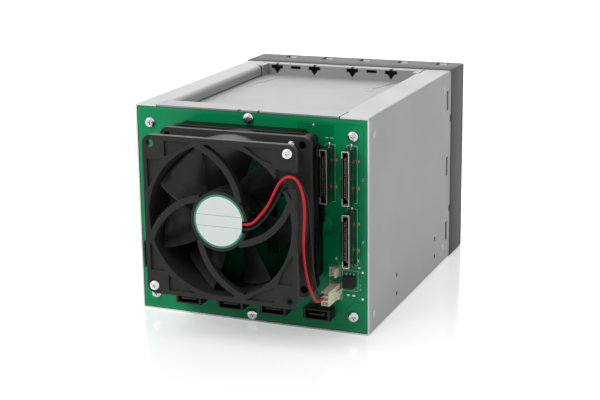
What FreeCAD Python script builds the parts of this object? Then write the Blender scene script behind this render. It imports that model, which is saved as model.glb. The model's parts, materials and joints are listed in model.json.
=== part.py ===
import FreeCAD, Part
import math
import os

# Hot swap drive cage: five upright 3.5 inch drive trays in a sheet metal shell that
# takes the room of three 5.25 inch bays, with a board and a fan at the back.
#
# Frame: millimetres, +Z up, -Y towards the user (the trays come out that way),
# +X to the right as seen from the front. The origin is the middle of the shell's underside.

V = FreeCAD.Vector

# ---------------------------------------------------------------- shell
CAGE_WIDTH = 146.0
CAGE_HEIGHT = 127.0
SHELL_LENGTH = 164.0
SHEET = 1.0
BEND_RADIUS = 1.5            # outside radius of a sharp fold
POCKET_DEPTH = 7.0           # how far the top panel lies below the top flanges
LEFT_FLANGE = 17.0           # width of the top flange on the +X side
RIGHT_FLANGE = 20.0          # width of the top flange on the -X side
LIP_BEND_RADIUS = 3.0        # outside radius of the flange's turned-down lip
LIP_GAP = 0.6                # dark line between the lip's foot and the panel
LIP_FRONT_MARGIN = 17.0
REAR_STRIP = 15.0            # raised strip that meets the board
FRONT_STRIP = 7.0            # raised strip behind the bezel
RELIEF_SLIT = 0.8
PANEL_SKIRT = 11.0           # side flange of the top panel, riveted to the shell
SKIRT_FRONT_MARGIN = 14.0
SHEET_FIT = 0.3              # play between neighbouring sheet parts
PANEL_SIDE_FIT = 0.1         # skirts lie close to the walls they are riveted to
TAB_WIDTH = 11.0
TAB_REACH = 13.0             # side tabs, from the wall inwards
TAB_MARGIN = 1.0             # sheet left round a board screw's head
PANEL_NOTCH = 1.2            # relief beside the panel's own board tab
PANEL_NOTCH_DEPTH = 5.0
DASH_SLOTS = (7.2, 2.0)      # width and height of the plain slots in the pocket's front wall
CROSS_SHIFT = 6.8            # hook slots, beside the dividers' planes
CROSS_RISE = 5.0             # above the panel
CROSS_BAR = (8.4, 2.4)
CROSS_STEM = 2.0
CROSS_WEDGE = 5.2
CROSS_FOOT = 0.2
LANCES = ((-33.5, -39.0), (47.0, -33.0))
LANCE_LENGTH = 27.0
LANCE_SLANT = 7.0
LANCE_KERF = 0.7
LANCE_DASH = 4.8
LANCE_DASH_GAP = 7.6

# 5.25 inch drive mounting pattern on both sides
SIDE_HOLE_RADIUS = 1.5
SIDE_HOLE_SPACING = 79.25
SIDE_HOLE_LOW_Z = 10.0
SIDE_HOLE_RISE = 11.84
SIDE_HOLE_MIDDLE_Y = -7.9

RIVET_HEAD_RADIUS = 2.3
RIVET_HEAD_HEIGHT = 0.4
RIVET_SHANK_RADIUS = 1.5
RIVET_FIT = 0.08
RIVET_CROWN = 1.4            # width of the head's bevel
RIVET_TAIL = 0.6             # shank beyond the inner sheet
RIVET_END_MARGIN = 8.0
RIVET_FRONT_MARGIN = 16.5
RIVET_HIGH = 10.5             # below the cage's top
RIVET_LOW = 11.0

# ---------------------------------------------------------------- bezel
BEZEL_DEPTH = 27.5
BEZEL_FACE = 2.0             # black front ring
BEZEL_PROUD = 0.5            # overhang past the shell at the sides and top
BEZEL_SILL = 4.2             # height of the opening's lower edge
BEZEL_CORNER = 1.2
HOOK_SLOT_WIDTH = 1.6
HOOK_SLOT_HEIGHT = 11.8
HOOK_SLOT_SETBACK = 8.5
HOOK_SLOT_LOW = 20.3
HOOK_SLOT_HIGH = 18.4         # below the cage's top
HOOK_THICKNESS = 1.5
HOOK_FIT = 0.2
SNAP_LOW = 34.0
SNAP_HIGH = 31.3              # below the cage's top
SNAP_WIDTH = 4.0
SNAP_LENGTH = 2.6
SNAP_FIT = 0.25
WINDOW_WIDTH = 7.6
WINDOW_LENGTH = 8.5
WINDOW_DEPTH = 2.0
WINDOW_FRONT_MARGIN = 2.0
WINDOW_SHIFT = -6.0          # the spring windows lie off the trays' centre lines
SPRING_THICKNESS = 0.4
SPRING_WIDTH = 5.2
SPRING_FIT = 0.25
SPRING_FOOT = 12.0
SPRING_SIDE_FIT = 0.3

# ---------------------------------------------------------------- trays
TRAY_COUNT = 5
TRAY_SIDE_COLUMN = 5.0        # from the cage's side to the first tray's slot
DRIVE_SIDE_GAP = 1.1          # tray pitch less the drive's thickness of 26.1
DRIVE_HEADROOM = 25.4         # cage height less the drive's width of 101.6
DRIVE_PLAY = 0.2
RAIL_SIDE_GAP = 2.2           # between the rails of neighbouring trays
RAIL_THICKNESS = 1.5
RAIL_HOLE_RADIUS = 1.8
RAIL_HOLE_SIDE = 6.35        # from the drive's underside
RAIL_HOLE_REAR = 28.5        # from the drive's rear edge
RAIL_HOLE_STEPS = (0.0, 41.6, 101.6)
RAIL_TIP_CHAMFER = 4.0
RAIL_REAR_GAP = 1.4          # rail ends in front of the drive sockets
TRAY_WINDOWS = 3
TRAY_WINDOW_WEB = 8.0
TRAY_WINDOW_RADIUS = 3.0
RUN_GAP = 0.3                # running clearance of the tray in its guides
GUIDE_BASE = 2.0
RUNNER_WIDTH = 3.0
RUNNER_INSET = 3.5            # runner's centre line, inside the rail's edge
GUIDE_SETBACK = 3.0          # guides and dividers start this far inside the shell
GUIDE_REAR_GAP = 9.0
GUIDE_LUG = (8.0, 2.5, 14.0)  # riveted side lug: inward and outward of its rivet along Y, height
GUIDE_LUG_THICKNESS = 1.6
DIVIDER_THICKNESS = 0.6
DIVIDER_WINDOWS = 4
DIVIDER_WINDOW_MARGIN = 29.0   # sheet above and below the windows
DIVIDER_WINDOW_RADIUS = 5.0
DIVIDER_WINDOW_WEB = 16.0
DIVIDER_FIT = 0.1
GRIP_RIB = 1.2
GRIP_RIB_HEIGHT = 3.0
OPENING_MARGIN = 6.3         # bezel opening above the upper rail

TRAY_FRONT_GAP = 0.8         # between neighbouring tray fronts
TRAY_FRONT_FIT = 0.9         # above and below, inside the bezel
TRAY_FRONT_SETBACK = 0.5
TRAY_FRONT_REAR = 1.0        # how far the tray front reaches behind the bezel joint
TRAY_WALL = 1.8
TRAY_EDGE_RADIUS = 1.2
LEVER_RECESS_SIDE = 3.8       # tray front beside the recess
LEVER_RECESS_DEPTH = 14.0
LEVER_RECESS_LOW = 4.4       # above the tray front's lower edge
LEVER_RECESS_DROP = 29.4      # tray front above the recess, for the button and lock
LEVER_SIDE_GAP = 0.3
LEVER_TOP_GAP = 1.2
LEVER_HINGE_RISE = 5.6       # hinge axis above the recess floor
LEVER_HINGE_DEPTH = 5.4      # hinge axis behind the tray front's face
LEVER_BARREL_RADIUS = 3.4
LEVER_SKIN = 1.8
LEVER_RIB_DEPTH = 7.0
LEVER_FACE_SETBACK = 0.5
LEVER_BOW = 1.2
LEVER_SLOT_COUNT = 7
LEVER_SLOT_WIDTH = 11.0
LEVER_SLOT_HEIGHT = 2.6
LEVER_SLOT_PITCH = 6.0
LEVER_SLOT_DROP = 2.0        # slot row below the lever's middle
LEVER_FOOT_GAP = 1.0         # skin starts above the hinge axis
LEVER_FOOT = 6.0             # solid foot above the hinge
LEVER_NOSE = 3.0
LEVER_NOSE_WIDTH = 6.0
LEVER_NOSE_HEIGHT = 3.0
HINGE_PIN_RADIUS = 1.5
HINGE_PIN_LENGTH = 1.5
HINGE_FIT = 0.05
HINGE_END_PLAY = 0.2
VENT_COUNT = 6
VENT_RADIUS = 2.0

BUTTON_WIDTH = 12.4
BUTTON_HEIGHT = 9.6
BUTTON_FIT = 0.3
BUTTON_GAP_ABOVE_RECESS = 2.2
BUTTON_PROUD = 0.4
BUTTON_CORNER = 0.8
BUTTON_DISH_RADIUS = 14.0
BUTTON_DISH_DEPTH = 0.7
BUTTON_FLANGE = 1.2
BUTTON_FLANGE_THICKNESS = 1.2
LOCK_RADIUS = 4.0
LOCK_FIT = 0.06
LOCK_DROP = 9.0              # lock axis below the tray front's upper edge
LOCK_PROUD = 0.6
LOCK_CAM_LENGTH = 6.0
LOCK_CAM_WIDTH = 4.0
LOCK_CAM_THICKNESS = 1.2
KEY_SLOT_LENGTH = 5.0
KEY_SLOT_WIDTH = 1.2
KEY_SLOT_DEPTH = 1.5
PIPE_RADIUS = 1.2
PIPE_FIT = 0.05
PIPE_INSET = 3.3              # from the tray front's side
PIPE_SPACING = 5.0
PIPE_PROUD = 0.2
PIPE_REAR_GAP = 2.0

# ---------------------------------------------------------------- board
BOARD_THICKNESS = 1.6
BOARD_SETBACK = 0.4
BOARD_EDGE_FIT = 0.3
BOARD_HOLE_RADIUS = 1.7
BOARD_SCREW_SIDE = 8.6        # from the wall's inner face
BOARD_SCREW_HIGH = 10.7       # below the cage's top
BOARD_SCREW_LOW = 10.6
BOARD_SCREW_TOP = 4.4         # below the cage's top
BOARD_SCREW_BOTTOM = 4.6
SCREW_HEAD_RADIUS = 3.2
SCREW_HEAD_HEIGHT = 2.2
SCREW_CROWN = 0.55           # top face and rim of a pan head, as shares of radius and height
SCREW_SHANK_RADIUS = 1.4
SCREW_SHANK_LENGTH = 4.2
SCREW_FIT = 0.06
VENT_SLOT_WIDTH = 7.0
VENT_SLOT_HEIGHT = 62.0
VENT_SLOT_RADIUS = 3.0

DRIVE_SOCKET_LENGTH = 42.0
DRIVE_SOCKET_WIDTH = 5.4
DRIVE_SOCKET_DEPTH = 6.6
DRIVE_SOCKET_SIDE = 8.2      # off the tray's centre line
DRIVE_SOCKET_Z = 41.0
DRIVE_SOCKET_SLOT = (1.6, 5.0)   # width and depth
DRIVE_SOCKET_END = 2.5
DRIVE_SOCKET_KEY = (15.0, 2.0)   # from the lower end, and height

POWER_SOCKET_LENGTH = 31.4
POWER_SOCKET_WIDTH = 4.6
POWER_SOCKET_DEPTH = 11.0
POWER_SOCKET_COLUMNS = (4.6, 9.3)     # beside the bracket, and from the wall's inner face
POWER_SOCKET_GAPS = (0.22, 0.43)      # free height above the upper and below the lower ones, as shares
DATA_SOCKET_LENGTH = 16.6
DATA_SOCKET_WIDTH = 6.4
DATA_SOCKET_DEPTH = 9.0
DATA_SOCKET_X = 10.5         # first of the row, left of the cage's middle
DATA_SOCKET_Z = 12.3
DATA_SOCKET_UPRIGHT = (8.8, 37.2)     # from the wall's inner face, and height
SOCKET_WALL = 0.8
SOCKET_END_WALL = 1.6
SOCKET_CAVITY = 6.0
TONGUE_THICKNESS = 1.2
TONGUE_MARGIN = 3.5          # tongue shorter than the socket at each end
TONGUE_DROP = 0.6
TONGUE_HOOK = (0.8, 1.1)

FAN_HEADER_PLACE = (-52.6, 25.4)
FAN_HEADER_WIDTH = 5.8
FAN_HEADER_HEIGHT = 9.0
FAN_HEADER_BASE = 3.2
FAN_HEADER_RAMP = (1.3, 8.0)     # thickness and height
FAN_PLUG_LENGTH = 14.0
FAN_PLUG_WIDTH = 4.9
FAN_PLUG_HEIGHT = 8.2
FAN_PLUG_FIT = 0.1
FAN_PLUG_RIB = 1.0
FAN_PLUG_RIB_HEIGHT = 0.3
FAN_PLUG_RIB_SPREAD = 4.4
FAN_PLUG_RIB_MARGIN = 3.0
AUX_HEADER_PLACE = (-52.2, 37.2)
AUX_HEADER_SIZE = 5.2
AUX_HEADER_BASE = 2.5
AUX_HEADER_WALL = (0.9, 6.0)
AUX_PIN_SPREAD = 2.5
AUX_PIN_SHIFT = 0.4
AUX_PIN_HEIGHT = 7.0
REGULATOR_PLACE = (8.8, 32.0)         # beyond the fan header, and height
REGULATOR_SIZE = 6.8
REGULATOR_HEIGHT = 4.4
REGULATOR_LIFT = 0.3
REGULATOR_LEAD = (0.8, 0.5, 1.2)     # width, thickness, reach beyond the body
REGULATOR_LEAD_PITCH = 2.2
PIN_THICKNESS = 0.64

# ---------------------------------------------------------------- fan
FAN_X = -2.0
FAN_Z = 74.0
FAN_SIZE = 92.0
FAN_DEPTH = 25.0
FAN_STANDOFF = 22.0          # from the board's rear face to the fan
FAN_HOLE_SPACING = 82.5
FAN_HOLE_RADIUS = 2.2
FAN_CORNER_RADIUS = 5.0
FAN_BORE_RADIUS = 43.2
FAN_DUCT_WALL = 1.8
FAN_FLANGE = 3.6
POCKET_RECESS = 1.6
POCKET_RIM = 2.6
POCKET_CORNER = 11.0         # solid web left at each corner
POCKET_START = 15.5          # from the middle of the side
POCKET_SHALLOW = 24.0
POCKET_WIDTHS = (5.6, 9.0)   # at the shallow end and beside the corner
STRUT_WIDTH = 3.6
STRUT_DEPTH = 4.0
STRUT_ROOT = (-11.6, -12.0)  # on the motor base, from the fan's axis
STRUT_WAIST = (-28.0, -5.5)
STRUT_TIP_ANGLE = 17.5       # where it meets the bore
STRUT_COUNT = 4
HUB_BASE_RADIUS = 17.0
HUB_BASE_DEPTH = 4.4
LABEL_RADIUS = 15.2
LABEL_THICKNESS = 0.15
TUBE_RADIUS = 4.6
TUBE_LENGTH = 14.0
TUBE_CAP = 2.0               # bore closed behind the bush
EXIT_GROOVE_DEPTH = 3.2      # where the wires leave the motor base
EXIT_GROOVE_REACH = 3.0
EXIT_GROOVE_LOW = 5.5
EXIT_GROOVE_HIGH = 1.5
BUSH_RADIUS = 3.2
BUSH_LENGTH = 12.0
SHAFT_RADIUS = 1.5
SHAFT_FIT = 0.04
SHAFT_END_GAP = 0.8
ROTOR_RADIUS = 17.0
ROTOR_WALL = 1.6
ROTOR_FRONT_GAP = 1.4
ROTOR_REAR_GAP = 1.0
ROTOR_FRONT_WALL = 2.0
ROTOR_ROUNDING = 2.0
SHAFT_SEAT = 0.8             # skin of the cup in front of the shaft
MAGNET_THICKNESS = 1.4
MAGNET_OVERLAP = 2.0         # magnet longer than the stator
STATOR_GAP = 0.6
STATOR_LENGTH = 8.0
STATOR_POLES = 4
STATOR_POLE_WIDTH = 8.0
STATOR_RING = 2.0
STATOR_CLEARANCE = 0.6
WINDING_STEP = 1.5
BLADE_COUNT = 7
BLADE_TIP_GAP = 0.8
BLADE_ROOT_ANGLE = 52.0      # blade angle to the plane of rotation
BLADE_TIP_ANGLE = 30.0
BLADE_ROOT_CHORD = 23.0
BLADE_TIP_CHORD = 35.0
BLADE_THICKNESS = 1.3
BLADE_CAMBER = 0.09          # arch of a section, as a share of its chord
BLADE_SWEEP = -12.0          # degrees by which the tip lies ahead of the root
BLADE_PHASE = 6.8
BLADE_SECTIONS = 4
BLADE_ROOT_SINK = 1.2
BLADE_TRIM = 2.0             # loft runs on past the tip and is trimmed round
BLADE_END_GAP = (1.0, 0.8)   # to the fan's front plane and to the motor base
FAN_NOTCH_LOW = 22.0         # notch for the wires, above the fan's axis
FAN_NOTCH_NECK = 18.4
FAN_NOTCH_HIGH = 31.0
FAN_NOTCH_START = 34.0
FAN_NOTCH_BEND = 43.0
FAN_NOTCH_DEPTH = 4.0

BRACKET_DEPTH = 14.0
BRACKET_WALL = 2.0
BRACKET_LEFT = 50.0
BRACKET_RIGHT = -45.0
BRACKET_TOP = 118.6
BRACKET_BOTTOM = 25.0
BRACKET_CHAMFER = 10.0
BRACKET_POST_RADIUS = 4.4
BRACKET_RING_WALL = 2.0
BRACKET_PLATE_MARGIN = 0.8
BRACKET_BOSS_RADIUS = 3.0
BRACKET_SCREW_INSET = 8.0    # from the collar's sides
BRACKET_SCREW_HIGH = 10.0
BRACKET_SCREW_LOW = 12.0
BRACKET_SCREW_LENGTH = 8.0
BRACKET_SCREW_HEAD_HEIGHT = 1.6
BRACKET_SCREW_HEAD_RADIUS = 2.8
FAN_SCREW_RADIUS = 1.9
FAN_SCREW_HEAD_RADIUS = 2.9
FAN_SCREW_HEAD_HEIGHT = 1.8
FAN_SCREW_BITE = 7.0

LEAD_DIAMETER = 1.5
CORD_CORNER = 0.45           # share of the shorter run that a bend takes up

# ---------------------------------------------------------------- worked out from the above
half_width = CAGE_WIDTH / 2
inner_half = half_width - SHEET
shell_front = -SHELL_LENGTH / 2
shell_rear = SHELL_LENGTH / 2
panel_top = CAGE_HEIGHT - POCKET_DEPTH
panel_under = panel_top - SHEET
board_rear = shell_rear - BOARD_SETBACK
board_front = board_rear - BOARD_THICKNESS
bezel_front = shell_front - BEZEL_DEPTH
bezel_top = CAGE_HEIGHT + BEZEL_PROUD
bezel_half = half_width + BEZEL_PROUD
tray_pitch = (CAGE_WIDTH - 2 * TRAY_SIDE_COLUMN) / TRAY_COUNT
drive_thickness = tray_pitch - DRIVE_SIDE_GAP
rail_width = tray_pitch - RAIL_SIDE_GAP
tray_front_width = tray_pitch - TRAY_FRONT_GAP
recess_width = tray_front_width - 2 * LEVER_RECESS_SIDE
opening_half = TRAY_COUNT * tray_pitch / 2 + RUN_GAP
drive_width = CAGE_HEIGHT - DRIVE_HEADROOM
drive_gap_height = drive_width + 2 * DRIVE_PLAY
runner_height = (panel_under - SHEET - drive_gap_height) / 2 - GUIDE_BASE - RUN_GAP - RAIL_THICKNESS
rail_low = SHEET + GUIDE_BASE + runner_height + RUN_GAP
rail_high = rail_low + RAIL_THICKNESS + drive_gap_height
opening_top = rail_high + RAIL_THICKNESS + OPENING_MARGIN
guide_front = shell_front + GUIDE_SETBACK
guide_rear = board_front - GUIDE_REAR_GAP
tray_front_face = bezel_front + TRAY_FRONT_SETBACK
tray_front_back = shell_front + TRAY_FRONT_REAR
tray_front_low = BEZEL_SILL + TRAY_FRONT_FIT
tray_front_high = opening_top - TRAY_FRONT_FIT
recess_floor = tray_front_low + LEVER_RECESS_LOW
recess_top = tray_front_high - LEVER_RECESS_DROP
hinge_y = tray_front_face + LEVER_HINGE_DEPTH
hinge_z = recess_floor + LEVER_HINGE_RISE
button_low = recess_top + BUTTON_GAP_ABOVE_RECESS
button_z = button_low + BUTTON_FIT + BUTTON_HEIGHT / 2
lock_z = tray_front_high - LOCK_DROP
recess_back = tray_front_face + LEVER_RECESS_DEPTH
wall_back = recess_back + TRAY_WALL
pipe_heights = (button_z - PIPE_SPACING / 2, button_z + PIPE_SPACING / 2)
lip_front = shell_front + LIP_FRONT_MARGIN
lip_rear = shell_rear - REAR_STRIP
fan_front = board_rear + FAN_STANDOFF
fan_rear = fan_front + FAN_DEPTH
tray_centres = [(index - (TRAY_COUNT - 1) / 2) * tray_pitch for index in range(TRAY_COUNT)]
divider_centres = [x + tray_pitch / 2 for x in tray_centres[:-1]]
hook_slot_top = CAGE_HEIGHT - HOOK_SLOT_HIGH
hook_slot_heights = (HOOK_SLOT_LOW, (HOOK_SLOT_LOW + hook_slot_top) / 2, hook_slot_top)
snap_heights = (SNAP_LOW, CAGE_HEIGHT - SNAP_HIGH)
corner_screw_x = inner_half - BOARD_SCREW_SIDE
corner_screw_heights = (BOARD_SCREW_LOW, CAGE_HEIGHT - BOARD_SCREW_HIGH)
top_screw_z = CAGE_HEIGHT - BOARD_SCREW_TOP


# ---------------------------------------------------------------- helpers
def block(x0, x1, y0, y1, z0, z1):
    """A box between two corners."""
    return Part.makeBox(x1 - x0, y1 - y0, z1 - z0, V(x0, y0, z0))


def rod(radius, start, end):
    """A cylinder between two points."""
    start = V(*start)
    end = V(*end)
    return Part.makeCylinder(radius, (end - start).Length, start, end - start)


def fused(shapes):
    """One body from overlapping or touching shapes."""
    return shapes[0].multiFuse(shapes[1:]).removeSplitter()


def without(shape, cutters):
    """A shape less its cutters."""
    return shape.cut(cutters)


def span(x0, x1, y0, y1, z0, z1):
    """A box whose X limits may come in either order."""
    return block(min(x0, x1), max(x0, x1), y0, y1, z0, z1)


def domed_head(radius, height, start, axis, share):
    """Screw or rivet head: a short cylinder with a bevelled crown, turned about its axis."""
    rim = height * share
    points = [V(0, 0, 0), V(radius, 0, 0), V(radius, 0, rim), V(radius * share, 0, height), V(0, 0, height)]
    head = Part.Face(Part.makePolygon(points + points[:1])).revolve(V(0, 0, 0), V(0, 0, 1), 360)
    head.Placement = FreeCAD.Placement(V(*start), FreeCAD.Rotation(V(0, 0, 1), V(*axis)))
    return head


def rounded_rectangle(width, height, radius):
    """A wire in the XZ plane, centred on the origin, with rounded corners."""
    w = width / 2
    h = height / 2
    k = radius * (1 - math.sqrt(0.5))
    edges = [
        Part.LineSegment(V(-w + radius, 0, -h), V(w - radius, 0, -h)).toShape(),
        Part.Arc(V(w - radius, 0, -h), V(w - k, 0, -h + k), V(w, 0, -h + radius)).toShape(),
        Part.LineSegment(V(w, 0, -h + radius), V(w, 0, h - radius)).toShape(),
        Part.Arc(V(w, 0, h - radius), V(w - k, 0, h - k), V(w - radius, 0, h)).toShape(),
        Part.LineSegment(V(w - radius, 0, h), V(-w + radius, 0, h)).toShape(),
        Part.Arc(V(-w + radius, 0, h), V(-w + k, 0, h - k), V(-w, 0, h - radius)).toShape(),
        Part.LineSegment(V(-w, 0, h - radius), V(-w, 0, -h + radius)).toShape(),
        Part.Arc(V(-w, 0, -h + radius), V(-w + k, 0, -h + k), V(-w + radius, 0, -h)).toShape(),
    ]
    return Part.Wire(edges)


def rounded_plate(x, z, width, height, radius, y0, y1):
    """A plate across Y with rounded corners, centred at x and z."""
    plate = Part.Face(rounded_rectangle(width, height, radius)).extrude(V(0, y1 - y0, 0))
    plate.translate(V(x, y0, z))
    return plate


def prism(points, direction):
    """A closed polygon swept along a direction."""
    wire = Part.makePolygon([V(*p) for p in points] + [V(*points[0])])
    return Part.Face(wire).extrude(V(*direction))


def folded_strip(points, thickness, radii):
    """Section of bent sheet, in the XZ plane: a centre line with a bend at each inner point."""
    corners = [V(x, 0, z) for x, z in points]
    left = []
    right = []
    start = corners[0]
    for index in range(1, len(corners)):
        here = corners[index]
        along = (here - corners[index - 1]).normalize()
        side = V(-along.z, 0, along.x) * (thickness / 2)
        if index == len(corners) - 1:
            left.append(Part.LineSegment(start + side, here + side).toShape())
            right.append(Part.LineSegment(start - side, here - side).toShape())
            last = (here + side, here - side)
            break
        onward = (corners[index + 1] - here).normalize()
        next_side = V(-onward.z, 0, onward.x) * (thickness / 2)
        turn = math.acos(max(-1.0, min(1.0, along.dot(onward))))
        radius = radii[index - 1]
        reach = radius * math.tan(turn / 2)
        bend_start = here - along * reach
        bend_end = here + onward * reach
        inward = (onward - along).normalize()
        centre = here + inward * (radius / math.cos(turn / 2))
        for path, offset, next_offset in ((left, side, next_side), (right, side * -1, next_side * -1)):
            a = bend_start + offset
            b = bend_end + next_offset
            middle = centre - inward * (a - centre).Length
            path.append(Part.LineSegment(start + offset, a).toShape())
            path.append(Part.Arc(a, middle, b).toShape())
        start = bend_end
    first_side = (corners[1] - corners[0]).normalize()
    first_side = V(-first_side.z, 0, first_side.x) * (thickness / 2)
    caps = [
        Part.LineSegment(corners[0] + first_side, corners[0] - first_side).toShape(),
        Part.LineSegment(last[0], last[1]).toShape(),
    ]
    return Part.Wire(Part.__sortEdges__(left + right + caps))


def export(name, shape):
    """Write one node."""
    shape.exportStep("parts/" + name + ".step")


def group(shapes):
    """Separate solids that share one node."""
    return Part.makeCompound(shapes)


# ---------------------------------------------------------------- shell
def side_hole_places():
    """Y and Z of the four mounting holes on one side."""
    places = []
    for y in (-SIDE_HOLE_SPACING / 2, SIDE_HOLE_SPACING / 2):
        for z in (SIDE_HOLE_LOW_Z, SIDE_HOLE_LOW_Z + SIDE_HOLE_RISE):
            places.append((SIDE_HOLE_MIDDLE_Y + y, z))
    return places


def rivet_places():
    """Y and Z of the rivets on one side."""
    places = []
    for y in (shell_front + RIVET_FRONT_MARGIN, shell_rear - RIVET_END_MARGIN):
        for z in (RIVET_LOW, CAGE_HEIGHT - RIVET_HIGH):
            places.append((y, z))
    return places


def tapped_hole(x, z):
    """Cutter for a board screw's shank in a tab."""
    return rod(SCREW_SHANK_RADIUS + SCREW_FIT, (x, board_front - 2 * SHEET, z), (x, board_rear, z))


def board_tab(side, z):
    """A tab folded in from a side wall, behind the board, with its screw hole."""
    tab = span(side * (inner_half - TAB_REACH), side * (inner_half + SHEET / 2), board_front - SHEET,
               board_front, z - TAB_WIDTH / 2, z + TAB_WIDTH / 2)
    return tab.cut(tapped_hole(side * corner_screw_x, z))


def outer_wrap():
    """Floor, both side walls and the two top flanges, folded from one sheet."""
    middle = SHEET / 2
    wall = half_width - middle
    lip_foot = panel_top + LIP_GAP
    flange_z = CAGE_HEIGHT - middle
    bend = BEND_RADIUS - middle
    lip_bend = LIP_BEND_RADIUS - middle
    line = [
        (half_width - LEFT_FLANGE, lip_foot),
        (half_width - LEFT_FLANGE, flange_z),
        (wall, flange_z),
        (wall, middle),
        (-wall, middle),
        (-wall, flange_z),
        (-half_width + RIGHT_FLANGE, flange_z),
        (-half_width + RIGHT_FLANGE, lip_foot),
    ]
    radii = [lip_bend, bend, bend, bend, bend, lip_bend]
    section = Part.Face(folded_strip(line, SHEET, radii))
    wrap = section.extrude(V(0, SHELL_LENGTH, 0))
    wrap.translate(V(0, shell_front, 0))
    cutters = []
    slot_y = shell_front + HOOK_SLOT_SETBACK
    for side, flange in ((1, LEFT_FLANGE), (-1, RIGHT_FLANGE)):
        edge = side * (half_width - flange + LIP_BEND_RADIUS)
        inner = side * (half_width - flange - 2 * SHEET)
        for y0, y1 in ((shell_front - 1, lip_front), (lip_rear, shell_rear + 1)):
            cutters.append(span(edge, inner, y0, y1, lip_foot - 1, CAGE_HEIGHT + 1))
        wall_in = side * (inner_half - 1)
        wall_out = side * (half_width + 1)
        for y, z in side_hole_places():
            cutters.append(rod(SIDE_HOLE_RADIUS, (wall_in, y, z), (wall_out, y, z)))
        for y, z in rivet_places():
            cutters.append(rod(RIVET_SHANK_RADIUS + RIVET_FIT, (wall_in, y, z), (wall_out, y, z)))
        for z in hook_slot_heights:
            cutters.append(span(wall_in, wall_out, slot_y - HOOK_SLOT_WIDTH / 2, slot_y + HOOK_SLOT_WIDTH / 2,
                                z - HOOK_SLOT_HEIGHT / 2, z + HOOK_SLOT_HEIGHT / 2))
        for z in snap_heights:
            cutters.append(span(wall_in, wall_out, shell_front - 1, shell_front + SNAP_LENGTH + SNAP_FIT,
                                z - SNAP_WIDTH / 2 - SNAP_FIT, z + SNAP_WIDTH / 2 + SNAP_FIT))
    wrap = without(wrap, cutters)
    tabs = [board_tab(side, z) for side in (1, -1) for z in corner_screw_heights]
    foot_tab = block(-TAB_WIDTH / 2, TAB_WIDTH / 2, board_front - SHEET, board_front,
                     SHEET / 2, BOARD_SCREW_BOTTOM + SCREW_HEAD_RADIUS + TAB_MARGIN)
    foot_tab = foot_tab.cut(tapped_hole(0, BOARD_SCREW_BOTTOM))
    return fused([wrap] + tabs + [foot_tab])


def cross_slot(x, y):
    """Hook slot of the panel's front wall: a bar with a short stem above and a wedge below."""
    bar_z = panel_top + CROSS_RISE
    depth = 3 * SHEET
    half_bar = CROSS_BAR[0] / 2
    half_high = CROSS_BAR[1] / 2
    half_stem = CROSS_STEM / 2
    half_wedge = CROSS_WEDGE / 2
    bar = block(x - half_bar, x + half_bar, y - depth, y + depth, bar_z - half_high, bar_z + half_high)
    stem = block(x - half_stem, x + half_stem, y - depth, y + depth, bar_z, CAGE_HEIGHT + 1)
    wedge = prism([(x - half_wedge, y - depth, bar_z - half_high),
                   (x + half_wedge, y - depth, bar_z - half_high),
                   (x, y - depth, panel_top + CROSS_FOOT)], (0, 2 * depth, 0))
    return fused([bar, stem, wedge])


def lance(x, y):
    """A fine lanced cut in the top panel: a long slanted kerf with a short dash behind it."""
    low = panel_under - 1
    end = y - LANCE_LENGTH
    long_cut = prism([(x, y, low), (x + LANCE_KERF, y, low), (x + LANCE_KERF - LANCE_SLANT, end, low),
                      (x - LANCE_SLANT, end, low)], (0, 0, SHEET + 2))
    dash = y + LANCE_DASH_GAP
    short_cut = block(x - LANCE_DASH / 2, x + LANCE_DASH / 2, dash, dash + LANCE_KERF, low, panel_top + 1)
    return [long_cut, short_cut]


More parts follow.
